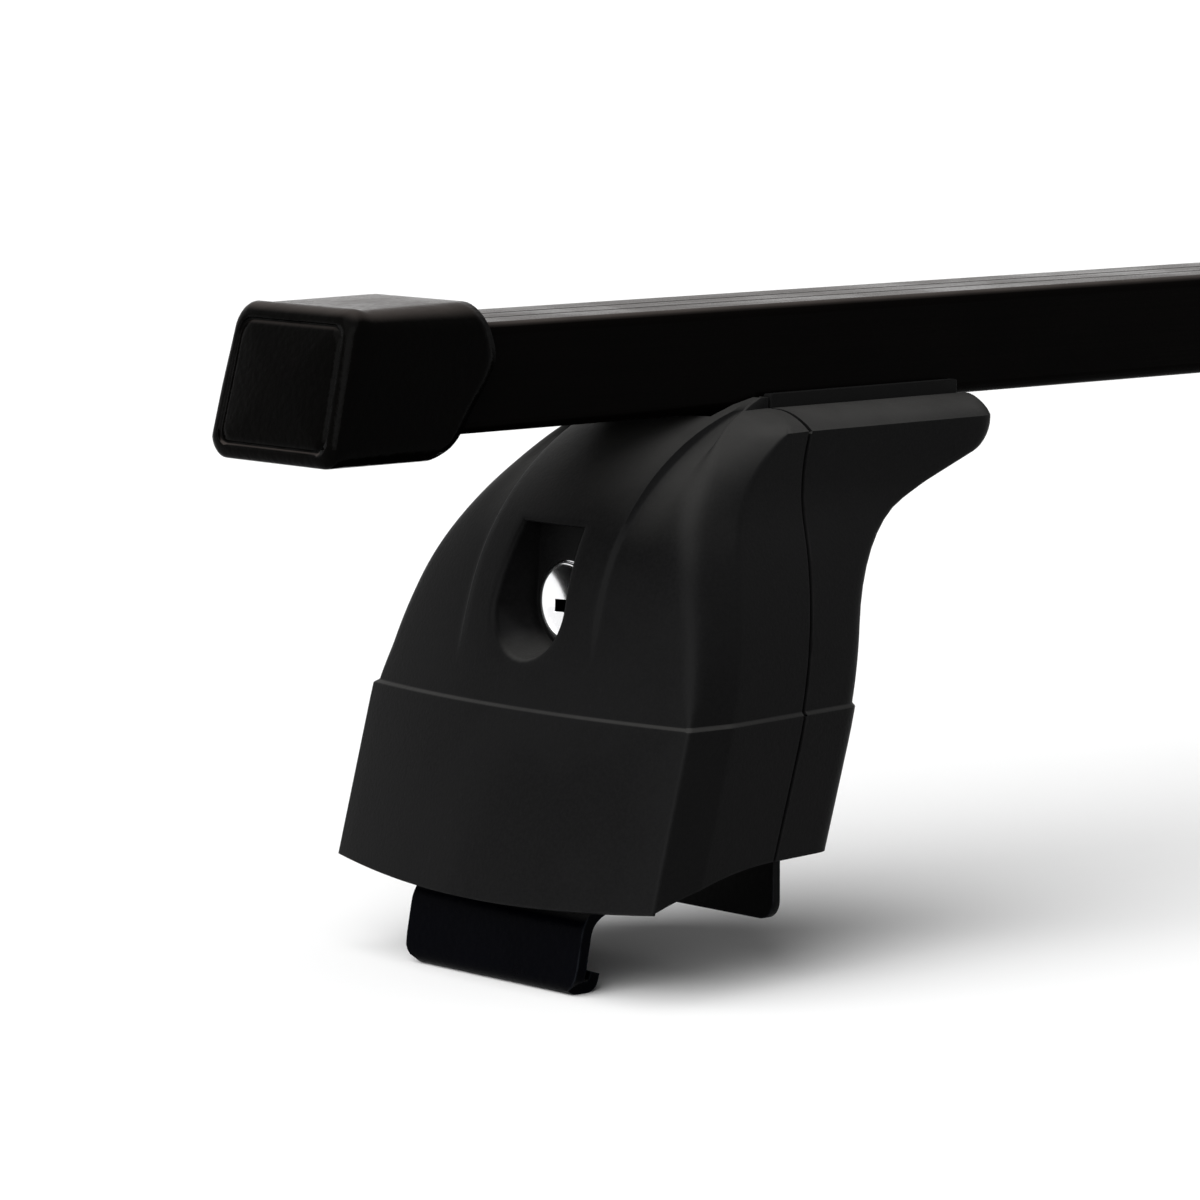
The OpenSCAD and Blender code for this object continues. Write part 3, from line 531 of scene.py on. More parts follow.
    def shell_half(self, z):
        """Half a level section of the inner shell, from the seam to the middle of its end."""
        out = self.skirt_out(z)
        xs = self.seam_x(z) + SEAM_OPEN
        xe = self.end_x(z) + out * self.end_step / self.sizes.step
        ws = self.seam_w(z) + out
        wing_w = self.sizes.wing_half_width
        we = max(ws - 2.6 * MM, min(ws - 0.3 * MM, wing_w + out - 0.8 * MM))
        reach = min(4.6 * MM, 0.3 * (xe - xs))
        seam, corner = Vector((xs, ws)), Vector((xe, we))
        soft = round_corner(seam, corner, (xe, 0), reach, 6)
        half = [seam.lerp(soft[0], t) for t in spread(0, 1, 12)] + soft[1:]
        ys = spread(half[-1].y, WELL_HALF_W, 3)[1:] + spread(WELL_HALF_W, 0, 5)[1:]
        half += [Vector((xe, y)) for y in ys]
        bulge = self.tip_bulge * smooth(self.nose_z - 1 * MM, self.tip_z, z)

        def bowed(x, y):
            """The wing's end is bowed out towards its middle."""
            middle = min(1.0, max(0.0, (wing_w - y) / (11 * MM)))
            return Vector((x + bulge * smooth(0.6, 1, x / xe) * middle, y))

        return [bowed(x, y) for x, y in half]


# Foot pieces

def step_levels(form):
    """Heights of the rows over the skirt's step."""
    return [form.step_z + d * MM for d in STEP_ROWS]


def cover_levels(form):
    """Heights of the cover's rows above the skirt's edge."""
    def arc_angle(z):
        return math.asin((z - form.arc_z) / form.arc_r)

    arc = [form.arc_z + form.arc_r * math.sin(a)
           for a in spread(arc_angle(POCKET_HIGH_Z), arc_angle(form.roof_low_z), 14)]
    return (step_levels(form) + spread(POCKET_LOW_Z, POCKET_HIGH_Z, 19) + arc[1:]
            + form.roof_levels()[1:] + [-20.2 * MM, form.cover_top_z])


def pocket_outline(form, y, z, grow):
    """Point of the pocket's U-shaped mouth that faces a point of the square round it."""
    axis_z = -form.sizes.lock_drop
    half = form.sizes.pocket_width / 2 + grow
    if z >= axis_z:
        share = (z - axis_z) / (POCKET_HIGH_Z - axis_z)
        half *= 1 - POCKET_TAPER * share
        return half * y / POCKET_HALF_W, axis_z + share * (POCKET_TOP_Z + grow - axis_z)
    reach = max(abs(y) / POCKET_HALF_W, (axis_z - z) / (axis_z - POCKET_LOW_Z))
    away = Vector((y / POCKET_HALF_W, (z - axis_z) / (axis_z - POCKET_LOW_Z))) / reach
    angle = math.atan2(away.y, away.x)
    return half * math.cos(angle), axis_z + half * math.sin(angle)


def cut_pocket(bm, form):
    """Opens the square round the lock, rounds it to the pocket's mouth and sinks the pocket."""
    def in_square(m):
        return (abs(m.y) < POCKET_HALF_W and POCKET_LOW_Z < m.z < POCKET_HIGH_Z
                and m.x < form.front_x(m.z) + 4 * MM)

    inside = [f for f in bm.faces if in_square(f.calc_center_median())]
    bmesh.ops.delete(bm, geom=inside, context="FACES")
    axis_z = -form.sizes.lock_drop
    loop = open_edges(bm, lambda m: abs(m.y) < POCKET_HALF_W + MM
                      and POCKET_LOW_Z - MM < m.z < POCKET_HIGH_Z + MM and m.x < -20 * MM)

    def key(co):
        return (round(co.x * 1e6), round(co.y * 1e6), round(co.z * 1e6))

    # The point of the square that each point of the pocket has come from
    starts = {key(v.co): v.co.copy() for e in loop for v in e.verts}

    def extrude_to(edges, target, *values):
        def place(co):
            start = starts[key(co)]
            new = target(start, *values)
            starts[key(new)] = start
            return new
        return extrude_loop(bm, edges, place)

    def to_mouth(start, share):
        y, z = pocket_outline(form, start.y, start.z, 0)
        return form.front_point(lerp(start.y, y, share), lerp(start.z, z, share))

    def to_floor(start, share, shrink):
        mouth = form.front_point(*pocket_outline(form, start.y, start.z, 0))
        y, z = pocket_outline(form, start.y, start.z, -shrink)
        return Vector((lerp(mouth.x + 1.7 * MM, POCKET_FLOOR_X, share), y, z))

    def to_bore(start, share, depth):
        y, z = pocket_outline(form, start.y, start.z, -0.4 * MM)
        angle = math.atan2(z - axis_z, y)
        return Vector((POCKET_FLOOR_X + depth, lerp(y, LOCK_BORE_R * math.cos(angle), share),
                       lerp(z, axis_z + LOCK_BORE_R * math.sin(angle), share)))

    for share in (0.45, 1):
        loop = extrude_to(loop, to_mouth, share)
    mouth = list(loop)
    for share, shrink in ((0, 0.05 * MM), (0.4, 0.15 * MM), (0.75, 0.3 * MM), (1, 0.4 * MM)):
        loop = extrude_to(loop, to_floor, share, shrink)
    for share, depth in ((0.45, 0), (0.8, 0), (1, -0.35 * MM), (1, 2 * MM)):
        loop = extrude_to(loop, to_bore, share, depth)
    bmesh.ops.bevel(bm, geom=mouth, offset=1.3 * MM, offset_type="OFFSET", segments=4, profile=0.5,
                    affect="EDGES", material=-1)


def cover_sheet(form):
    """The cover's skin as one sheet, with its arched edge, pocket and the bar's channel."""
    levels = cover_levels(form)
    halves = [form.cover_half(z) for z in levels]
    middle = len(halves[0]) - 1

    def skirt_z(i, share):
        """Height of point i of the section, a share of the way from the arched edge to the step."""
        z = -100 * MM
        for _ in range(3):
            edge = form.skirt_edge_z(form.cover_half(z)[i].x)
            z = lerp(edge, levels[0], share)
        return z

    def point(column, row):
        i = abs(column - middle)
        if row < SKIRT_ROWS:
            z = skirt_z(i, row / SKIRT_ROWS)
            x, y = form.cover_half(z)[i]
        else:
            z = levels[row - SKIRT_ROWS]
            x, y = halves[row - SKIRT_ROWS][i]
        return Vector((x, -y if column < middle else y, z))

    bm = grid_of(2 * middle + 1, SKIRT_ROWS + len(levels), point)
    cut_pocket(bm, form)
    cut_channel(bm, form.channel_z, form.channel_half_w)
    face_outward(bm, (-10 * MM, 0, -70 * MM))
    return bm


def shell_levels(form):
    """Heights of the inner shell's rows."""
    sweep, step_rows = form.sweep_levels, step_levels(form)
    wing_start, wing_end = form.end_x(sweep[-1]) + 2 * MM, form.nose_x - 1 * MM
    under = [form.end_z(x) for x in spread(wing_start, wing_end, 9)]
    wing_a = math.atan(form.wing_slope)
    tip = [form.tip_z - form.tip_r * math.cos(a) for a in spread(wing_a, math.pi / 2, 7)]
    return (spread(-form.sizes.drop, step_rows[0], 9)[:-1] + step_rows
            + spread(form.step_z + 3 * MM, sweep[0], 8)[:-1] + sweep + under + tip
            + [form.roof_low_z] + form.roof_levels()[1:])


def cut_well(bm, form):
    """Opens the round well in the wing's underside through which the inboard bar nut is reached."""
    def under(m, half_w):
        return abs(m.y) < half_w and abs(m.x - WELL_X) < half_w and m.z < form.wing_low_z + MM

    inside = [f for f in bm.faces if under(f.calc_center_median(), WELL_HALF_W)]
    bmesh.ops.delete(bm, geom=inside, context="FACES")
    loop = open_edges(bm, lambda m: under(m, WELL_HALF_W + 2 * MM) and m.x > 15 * MM)

    def to_rim(share):
        def place(co):
            away = Vector((co.x - WELL_X, co.y))
            rim = away.normalized() * WELL_R
            x, y = WELL_X + lerp(away.x, rim.x, share), lerp(away.y, rim.y, share)
            return Vector((x, y, form.end_z(x)))
        return place

    for share in (0.5, 1):
        loop = extrude_loop(bm, loop, to_rim(share))
    extrude_loop(bm, loop, lambda co: Vector((co.x, co.y, WELL_DEPTH_Z)))


def add_seam_tongues(bm, form):
    """Adds the inner shell's two tongues, which close the seam behind the cover's edge.

    Each starts in the shell's own wall and ends behind the cover's, with a small clearance."""
    places = ((3.2 * MM, 0.5 * MM), (1 * MM, -0.6 * MM), (-1.8 * MM, -0.6 * MM))
    low_z, high_z, rows = -form.sizes.drop + 3 * MM, -33 * MM, 24
    for side in (-1, 1):
        def point(column, row):
            behind, out = places[column]
            z = lerp(low_z, high_z, row / rows)
            y = form.seam_w(z) + form.skirt_out(z) - form.sizes.wall + out
            return Vector((form.seam_x(z) + behind, side * y, z))

        tongue = grid_of(len(places), rows + 1, point)
        face_outward(tongue, (0, 0, -60 * MM))
        mesh = bpy.data.meshes.new("seam_tongue")
        tongue.to_mesh(mesh)
        tongue.free()
        bm.from_mesh(mesh)
        bpy.data.meshes.remove(mesh)


def inner_shell_sheet(form):
    """The inner shell's skin as one sheet, with the saddle's channel and the nut's well."""
    levels = shell_levels(form)
    halves = [form.shell_half(z) for z in levels]
    middle = len(halves[0]) - 1

    def point(column, row):
        x, y = halves[row][middle - abs(column - middle)]
        return Vector((x, -y if column < middle else y, levels[row]))

    bm = grid_of(2 * middle + 1, len(levels), point)
    cut_well(bm, form)
    cut_channel(bm, form.saddle_top_z, form.saddle_half_w)
    face_outward(bm, (0, 0, -60 * MM))
    add_seam_tongues(bm, form)
    return bm


class RACK_OT_covers(bpy.types.Operator):
    """Moulded outer cover of each foot, with its lock pocket"""
    bl_idname = "rack.covers"
    bl_label = "Foot covers"

    def execute(self, context):
        form = FootForm(context.scene.rack_foot)
        for piece in piece_at_each_end(lambda: cover_sheet(form), "foot_cover", "cover_unit",
                                       foot_plastic, "cover"):
            add_wall(piece, form.sizes.wall)
            add_bevel(piece, SHELL_EDGE)
        return {"FINISHED"}


class RACK_OT_inner_shells(bpy.types.Operator):
    """Moulded inner shell of each foot, with its wing under the bar"""
    bl_idname = "rack.inner_shells"
    bl_label = "Inner shells"

    def execute(self, context):
        form = FootForm(context.scene.rack_foot)
        for piece in piece_at_each_end(lambda: inner_shell_sheet(form), "wing_shell", "foot",
                                       foot_plastic, "inner_shell"):
            add_wall(piece, form.sizes.wall)
            add_bevel(piece, SHELL_EDGE)
        return {"FINISHED"}


# End caps

# Clearance between the cap's mouth and the bar
BAR_FIT = 0.05 * MM
# How far the cap's face starts before the end of the bar
CAP_REACH = 7 * MM


class CapForm:
    """Outline of the end cap, in the foot's own frame."""

    side_w = 20 * MM
    low_z = -26.5 * MM
    top_z = 4.5 * MM
    foot_h = 4 * MM
    taper = 0.05
    taper_length = 30 * MM
    face_corner = 4.4 * MM
    low_corner_r = 4.5 * MM
    top_fall = 0.5 * MM
    # How far the rim lies inboard of its place at the top, as heights and distances in millimetres
    rim_run = ((4.5, 0), (-0.5, 2.5), (-4.3, 3.3), (-8, 2.3), (-12, -0.3), (-17, -3.6), (-21, -5.8),
               (-24, -8.6), (-26.5, -12))

    def __init__(self, sizes):
        self.sizes = sizes
        self.face_low_x = BAR_END_X - SEAM_X - CAP_REACH
        self.lean = sizes.face_lean / (self.top_z - self.low_z - self.foot_h)

    def face_x(self, z):
        """The face: upright at its foot, then leaning inboard."""
        return self.face_low_x + max(0.0, z - self.low_z - self.foot_h) * self.lean

    def rim_x(self, z):
        """The waved rim at this height."""
        z = z / MM
        for (z0, run0), (z1, run1) in zip(self.rim_run, self.rim_run[1:]):
            if z >= z1:
                share = (z0 - z) / (z0 - z1)
                return self.face_low_x + self.sizes.top_length + lerp(run0, run1, max(0.0, share)) * MM
        return self.face_low_x + self.sizes.top_length + self.rim_run[-1][1] * MM

    def section(self, inset, taper, top_r, low_r):
        """Rounded section of the cap, as (y, z) points that start at the right of its top."""
        w, top, low = self.side_w - inset, self.top_z - inset, self.low_z + inset
        corners = ((w - top_r, top - top_r, 0, top_r), (top_r - w, top - top_r, 90, top_r),
                   (low_r - w, low + low_r, 180, low_r), (w - low_r, low + low_r, 270, low_r))
        points = []
        for i, (cy, cz, turn, r) in enumerate(corners):
            for a in spread(math.radians(turn), math.radians(turn + 90), 8):
                points.append((cy + r * math.cos(a), cz + r * math.sin(a)))
            cy, cz, turn, r = corners[(i + 1) % 4]
            y0, z0 = points[-1]
            y1, z1 = cy + r * math.cos(math.radians(turn)), cz + r * math.sin(math.radians(turn))
            points += [(lerp(y0, y1, t), lerp(z0, z1, t)) for t in spread(0, 1, 9)[1:-1]]
        return [(y * (1 - taper * (z - low) / (top - low)), z) for y, z in points]

    def edge_r(self, z):
        """The face's edge is crisp low down and soft at the top."""
        return lerp(2.2, 3.5, smooth(-14 * MM, 2 * MM, z)) * MM


def panel_rings(form):
    """Rings of the domed panel on the cap's face, and of the groove round it."""
    sizes = form.sizes

    def ring(inset, back):
        """A ring on the face, inset from the cap's outline and set back."""
        top_r = max(form.face_corner - inset * 0.3, 2 * MM)
        low_r = max(form.low_corner_r - inset * 0.5, 2 * MM)
        section = form.section(inset, form.taper, top_r, low_r)
        return [Vector((form.face_x(z) + back, y, z)) for y, z in section]

    panel = ring(sizes.panel_inset + 0.7 * MM, 0)
    middle_z = (form.top_z + form.low_z) / 2
    rings = []
    for share in (0.02, 0.25, 0.45, 0.65, 0.8, 0.92, 1):
        back = 0.05 * MM + sizes.dome * share ** 2.4
        points = [(co.y * share, lerp(middle_z, co.z, share)) for co in panel]
        rings.append([Vector((form.face_x(z) + back, y, z)) for y, z in points])
    groove = ((0.45 * MM, 0.42 * MM), (0.2 * MM, 0.5 * MM), (-0.02 * MM, 0.3 * MM),
              (-0.22 * MM, -0.14 * sizes.dome))
    return rings + [ring(sizes.panel_inset + inset, sizes.dome + back) for inset, back in groove]


def edge_rings(form, outline):
    """Rings over the rounded edge of the face, from the groove to the cap's outline."""
    inset = form.sizes.panel_inset - 0.45 * MM
    inner = form.section(inset, form.taper, form.face_corner, form.low_corner_r)
    rings = []
    for angle in spread(0, math.pi / 2, 6):
        points = []
        for (y0, z0), (y1, z1) in zip(inner, outline):
            y, z = lerp(y0, y1, math.sin(angle)), lerp(z0, z1, math.sin(angle))
            back = lerp(form.edge_r(z1), form.sizes.dome * 0.82, math.cos(angle))
            points.append(Vector((form.face_x(z) + back, y, z)))
        rings.append(points)
    return rings


def side_rings(form, outline):
    """Rings along the cap's sides, which narrow towards its face, as far as the waved rim."""
    rings = []
    for share in spread(0, 1, 14)[1:]:
        points = []
        for i, (_, outline_z) in enumerate(outline):
            face = form.face_x(outline_z)
            x = lerp(face + form.edge_r(outline_z), form.rim_x(outline_z), share)
            behind = (x - face) / form.taper_length
            ahead = max(0.0, 1 - behind)
            corner = lerp(form.face_corner, form.sizes.corner, min(1.0, behind))
            y, z = form.section(0, form.taper * ahead ** 1.5, corner, form.low_corner_r)[i]
            points.append(Vector((x, y, z - form.top_fall * smooth(0, 4 * MM, z) * ahead)))
        rings.append(points)
    return rings


def mouth_rings(form, rim):
    """Rings over the edge of the rim to the bar, and in along it."""
    def at_rim(section, back):
        return [Vector((co.x + back, y, z)) for co, (y, z) in zip(rim, section)]

    def inset(inward):
        return form.section(inward, 0, form.sizes.corner, form.low_corner_r)

    bar = BarSection(BAR_TOP_Z - FOOT_Z + BAR_FIT, BAR_LOW_Z - FOOT_Z - BAR_FIT, BAR_HALF_W + BAR_FIT)
    mouth = bar.section(0, 0, 2.5 * MM, 2.5 * MM)
    return [at_rim(inset(0.25 * MM), 0.1 * MM), at_rim(inset(0.8 * MM), 0.15 * MM),
            at_rim(mouth, 0), at_rim(mouth, -6 * MM)]


def cap_rings(form):
    """Rings of the cap, from the middle of its panel over its edges to the rim and in to the bar."""
    outline = form.section(0, form.taper, form.face_corner, form.low_corner_r)
    rings = panel_rings(form) + edge_rings(form, outline) + side_rings(form, outline)
    return rings + mouth_rings(form, rings[-1])


def cap_mesh(form):
    """The cap as one skin, extruded ring by ring from its panel."""
    rings = cap_rings(form)
    bm = bmesh.new()
    made = bmesh.ops.create_circle(bm, cap_ends=False, segments=len(rings[0]), radius=1)
    first = made["verts"]
    row = {v: i for i, v in enumerate(first)}
    for v, i in row.items():
        v.co = rings[0][i]
    loop = list(bm.edges)
    for points in rings[1:]:
        place = {v.co.copy().freeze(): i for v, i in row.items()}
        made = bmesh.ops.extrude_edge_only(bm, edges=loop)["geom"]
        row = {v: place[v.co.copy().freeze()] for v in made if isinstance(v, bmesh.types.BMVert)}
        for v, i in row.items():
            v.co = points[i]
        loop = [g for g in made if isinstance(g, bmesh.types.BMEdge)]
    bmesh.ops.pointmerge(bm, verts=first, merge_co=sum((v.co for v in first), Vector()) / len(first))
    face_outward(bm, (form.face_low_x + 20 * MM, 0, (form.top_z + form.low_z) / 2))
    return bm


class BarSection(CapForm):
    """Rounded section of the cap's mouth, which hugs the bar."""

    def __init__(self, top, low, side):
        self.top_z, self.low_z, self.side_w = top, low, side


class RACK_OT_end_caps(bpy.types.Operator):
    """Moulded cap on each end of the bar"""
    bl_idname = "rack.end_caps"
    bl_label = "End caps"

    def execute(self, context):
        form = CapForm(context.scene.rack_cap)
        piece_at_each_end(lambda: cap_mesh(form), "moulded_cap", "bar", cap_plastic, "end_cap")
        return {"FINISHED"}


# Jaws

JAW_HALF_W = 27 * MM
TAB_HALF_W = 11 * MM
CLAMP_Z = -97.5 * MM
CLAMP_HOLE_R = 4.05 * MM
JAW_EDGE = 0.35 * MM
# Height of the lip's edge above the jaw's bottom, and the rows of the lip with its first bend
LIP_RISE = 2.8 * MM
LIP_ROWS = 8
# Columns from the jaw's middle to the tab's edge, and from there to its own
TAB_COLUMNS = 3
SIDE_COLUMNS = 6


def jaw_path(sizes):
    """Side view of the outer jaw's plate, along its middle: lip, face, shoulder and tab."""
    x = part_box("outer_jaw_left")[0].x - SEAM_X + sizes.sheet / 2
    low = -FOOT_Z + sizes.sheet / 2
    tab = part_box("outer_jaw_left")[1].x - SEAM_X - sizes.sheet / 2
    corners = [Vector(c) for c in (
        (x + 7.1 * MM, low + LIP_RISE), (x + 6.2 * MM, low), (x, low),
        (x + 2.75 * MM, low + 14.2 * MM), (tab - 0.4 * MM, low + 18.6 * MM), (tab, -89 * MM))]
    reaches = (1.5, 2.4, 3.2, 2.4)
    path = [corners[0]]
    for before, corner, after, reach in zip(corners, corners[1:], corners[2:], reaches):
        bend = round_corner(before, corner, after, reach * MM, 6)
        steps = max(1, round((bend[0] - path[-1]).length / (2.2 * MM)))
        path += [path[-1].lerp(bend[0], t) for t in spread(0, 1, steps)][1:] + bend[1:]
    turn = path[-1]
    rows = [turn.lerp(corners[-1], t) for t in spread(0, 1, 12)]
    return path + rows[1:], len(path) - 1


def jaw_sheet(sizes):
    """Middle sheet of the jaw's plate, with its round corners, its tab and the bolt's hole."""
    path, tab_row = jaw_path(sizes)
    low = path[0].y - LIP_RISE
    shoulder_end = tab_row - 5
    corner = sizes.corner
    run = [0]
    for a, b in zip(path, path[1:]):
        run.append(run[-1] + (b - a).length)

    def lost(depth):
        """What a round corner takes off the half width, at a depth into it."""
        return corner - math.sqrt(corner ** 2 - depth ** 2)

    def half_width(row):
        if row > shoulder_end:
            return JAW_HALF_W
        width = JAW_HALF_W
        into_low = low + corner + 0.6 * MM - path[row].y
        if row < LIP_ROWS:
            width -= corner
        elif into_low > 0:
            width -= lost(min(corner, into_low))
        into_shoulder = corner - (run[shoulder_end] - run[row])
        if into_shoulder > 0:
            width -= lost(into_shoulder)
        return width

    middle = TAB_COLUMNS + SIDE_COLUMNS

    def point(column, row):
        across = abs(column - middle)
        if across <= TAB_COLUMNS:
            y = TAB_HALF_W * across / TAB_COLUMNS
        else:
            y = lerp(TAB_HALF_W, half_width(row), (across - TAB_COLUMNS) / SIDE_COLUMNS)
        return Vector((path[row].x, -y if column < middle else y, path[row].y))

    bm = grid_of(2 * middle + 1, len(path), point)
    end_x = path[shoulder_end].x

    def beside_tab(m):
        return abs(m.y) > TAB_HALF_W and m.z > low + 12 * MM and m.x > end_x

    def round_bolt(m, half_w, half_h):
        return abs(m.y) < half_w and abs(m.z - CLAMP_Z) < half_h

    half = TAB_HALF_W * 2 / 3 + 0.1 * MM
    for test in (beside_tab, lambda m: round_bolt(m, half, 6.5 * MM)):
        taken = [f for f in bm.faces if test(f.calc_center_median())]
        bmesh.ops.delete(bm, geom=taken, context="FACES")
    loop = open_edges(bm, lambda m: round_bolt(m, half + 0.1 * MM, 8.4 * MM))

    def to_hole(co):
        away = Vector((co.y, co.z - CLAMP_Z)).normalized() * CLAMP_HOLE_R
        return Vector((co.x, away.x, CLAMP_Z + away.y))

    extrude_loop(bm, loop, to_hole)
    face_outward(bm, (-40 * MM, 0, -118 * MM))
    return bm


class RACK_OT_outer_jaws(bpy.types.Operator):
    """Bent and painted hook plate of each foot"""
    bl_idname = "rack.outer_jaws"
    bl_label = "Outer jaws"

    def execute(self, context):
        sizes = context.scene.rack_jaw
        for piece in piece_at_each_end(lambda: jaw_sheet(sizes), "hook_plate", "jaw", jaw_paint,
                                       "outer_jaw"):
            add_wall(piece, sizes.sheet, 0)
            add_bevel(piece, JAW_EDGE, 3)
        return {"FINISHED"}


# Locks

KEYWAY_HALF_W = 4.8 * MM
KEYWAY_HALF_H = 1.3 * MM
KEYWAY_DROP = 0.9 * MM
PLUG_EDGE = 0.1 * MM
DISH_RIM_R = 8.1 * MM
DISH_DEPTH = 1.8 * MM
# Half profiles from the rim inwards, as distances behind it and radii in millimetres
PLUG_PROFILE = ((0.13, 8.27), (0.3, 8.4), (2.1, 8.4), (2.1, 7.5), (18.9, 7.5), (18.9, 3.5), (27.8, 3.5),
                (27.8, 1.3), (24, 1.3), (24, 0))
SLEEVE_PROFILE = ((19, 3.55), (18.6, 3.55), (18.6, 7.55), (2.9, 7.55), (2.9, 8.5), (0.9, 8.5),
                  (0.7, 8.58), (0.64, 8.72), (0.72, 8.88), (1, 9), (20.6, 9), (20.6, 3.55), (19, 3.55))


def placed(profile, x0):
    """A profile in millimetres, in metres and from the place x0."""
    return [(x0 + x * MM, r * MM) for x, r in profile]


def turned(profile, axis_z, segments=72):
    """A round piece about the lock's axis, spun from a profile of (x, radius) points."""
    bm = bmesh.new()
    verts = [bmesh.ops.create_vert(bm, co=(x, 0, axis_z + r))["vert"][0] for x, r in profile]
    for a, b in zip(verts, verts[1:]):
        bm.edges.new((a, b))
    bmesh.ops.spin(bm, geom=bm.verts[:] + bm.edges[:], cent=(0, 0, axis_z), axis=(1, 0, 0),
                   angle=2 * math.pi, steps=segments, use_merge=True)
    bmesh.ops.remove_doubles(bm, verts=bm.verts, dist=1e-6)
    bmesh.ops.recalc_face_normals(bm, faces=bm.faces)
    return bm


def cut_with(bm, cutter):
    """Takes the cutter's closed form out of a closed mesh."""
    body = bpy.data.objects.new("body", bpy.data.meshes.new("body"))
    tool = bpy.data.objects.new("tool", bpy.data.meshes.new("tool"))
    bm.to_mesh(body.data)
    cutter.to_mesh(tool.data)
    bm.free()
    cutter.free()
    for item in (body, tool):
        bpy.context.scene.collection.objects.link(item)
    cut = body.modifiers.new("cut", "BOOLEAN")
    cut.operation = "DIFFERENCE"
    cut.solver = "EXACT"
    cut.object = tool
    result = bmesh.new()
    result.from_object(body, bpy.context.evaluated_depsgraph_get())
    for item in (body, tool):
        mesh = item.data
        bpy.data.objects.remove(item)
        bpy.data.meshes.remove(mesh)
    return result


def lock_plug_mesh(face_x, axis_z):
    """Plug with a dished face, a level keyway and a small three-sided notch under it."""
    rim_x = face_x + 0.1 * MM
    dish = [(rim_x + DISH_DEPTH * (1 - t ** 2), DISH_RIM_R * t) for t in spread(0, 1, 14)]
    plug = turned(dish + placed(PLUG_PROFILE, face_x), axis_z)
    keyway = bmesh.new()
    bmesh.ops.create_cube(keyway, size=1)
    bmesh.ops.scale(keyway, verts=keyway.verts, vec=(14 * MM, 2 * KEYWAY_HALF_W, 2 * KEYWAY_HALF_H))
    bmesh.ops.translate(keyway, verts=keyway.verts, vec=(face_x, 0, axis_z - KEYWAY_DROP))
    plug = cut_with(plug, keyway)
    notch = bmesh.new()
    bmesh.ops.create_cone(notch, cap_ends=True, segments=3, radius1=2.6 * MM, radius2=2.4 * MM,
                          depth=4 * MM)
    quarter = Matrix.Rotation(math.pi / 2, 3, "Y")
    bmesh.ops.rotate(notch, verts=notch.verts, cent=(0, 0, 0), matrix=quarter)
    bmesh.ops.translate(notch, verts=notch.verts, vec=(face_x + 0.6 * MM, 0, axis_z - 4.3 * MM))
    return cut_with(plug, notch)


def lock_housing_mesh(front_x, axis_z):
    """Sleeve with a thin bright rim round the plug."""
    return turned(placed(SLEEVE_PROFILE, front_x), axis_z)


class RACK_OT_locks(bpy.types.Operator):
    """Bright plug and sleeve of each foot's lock"""
    bl_idname = "rack.locks"
    bl_label = "Locks"

    def execute(self, context):
        axis_z = -context.scene.rack_foot.lock_drop
        chrome = lock_chrome(context.scene.rack_colours)
        plug_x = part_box("lock_plug_left")[0].x - SEAM_X
        sleeve_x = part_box("lock_housing_left")[0].x - SEAM_X
        for side in SIDES:
            bm = lock_plug_mesh(plug_x, axis_z)
            at_foot(bm, side)
            plug = piece_from(bm, "key_plug_" + side, "lock_" + side, chrome,
                              ["lock_plug_" + side])
            add_bevel(plug, PLUG_EDGE, angle=40)
            bm = lock_housing_mesh(sleeve_x, axis_z)
            at_foot(bm, side)
            piece_from(bm, "lock_sleeve_" + side, "cover_unit_" + side, chrome,
                       ["lock_housing_" + side])
        return {"FINISHED"}


# Materials

# Painted shade inside the keyway: near black, where the deep slot lies in shade
KEYWAY_SHADE_COLOUR = (0.015, 0.015, 0.017, 1)


def node(tree, kind, inputs=None, **settings):
    """Adds a node; inputs gives a socket's value, or the output that feeds it."""
    made = tree.nodes.new(kind)
    for name, value in settings.items():
        setattr(made, name, value)
    for name, value in (inputs or {}).items():
        if isinstance(value, bpy.types.NodeSocket):
            tree.links.new(value, made.inputs[name])
        else:
            made.inputs[name].default_value = value
    return made


def maths(tree, operation, a, b=0.0):
    """Result of a Math node."""
    return node(tree, "ShaderNodeMath", {0: a, 1: b}, operation=operation).outputs[0]


def product(tree, first, *others):
    """Product of values."""
    for value in others:
        first = maths(tree, "MULTIPLY", first, value)
    return first


def remap(tree, value, low, high, to_low=0.0, to_high=1.0):
    """Takes low to to_low and high to to_high, with soft ends."""
    sockets = {"Value": value, "From Min": low, "From Max": high, "To Min": to_low, "To Max": to_high}
    made = node(tree, "ShaderNodeMapRange", sockets, interpolation_type="SMOOTHSTEP")
    return made.outputs["Result"]


def blend(tree, factor, a, b):
    """Mixes two colours by a factor."""
    mix = node(tree, "ShaderNodeMix", data_type="RGBA")
    for socket, value in ((mix.inputs[0], factor), (mix.inputs[6], a), (mix.inputs[7], b)):
        if isinstance(value, bpy.types.NodeSocket):
            tree.links.new(value, socket)
        else:
            socket.default_value = value
    return mix.outputs[2]


def object_place(tree):
    """Place on the object, in metres."""
    return node(tree, "ShaderNodeTexCoord").outputs["Object"]


def split(tree, vector):
    """The X, Y and Z of a vector."""
    return node(tree, "ShaderNodeSeparateXYZ", {"Vector": vector}).outputs


def stretched(tree, place, length):
    """The place with its X divided by length, so that a pattern runs along X."""
    parts = split(tree, place)
    sockets = {"X": maths(tree, "DIVIDE", parts["X"], length), "Y": parts["Y"], "Z": parts["Z"]}
    return node(tree, "ShaderNodeCombineXYZ", sockets).outputs["Vector"]


def noise(tree, place, scale, detail, roughness=0.5, distortion=0.0):
    """Soft noise from 0 to 1."""
    sockets = {"Vector": place, "Scale": scale, "Detail": detail, "Roughness": roughness,
               "Distortion": distortion}
    return node(tree, "ShaderNodeTexNoise", sockets).outputs["Fac"]


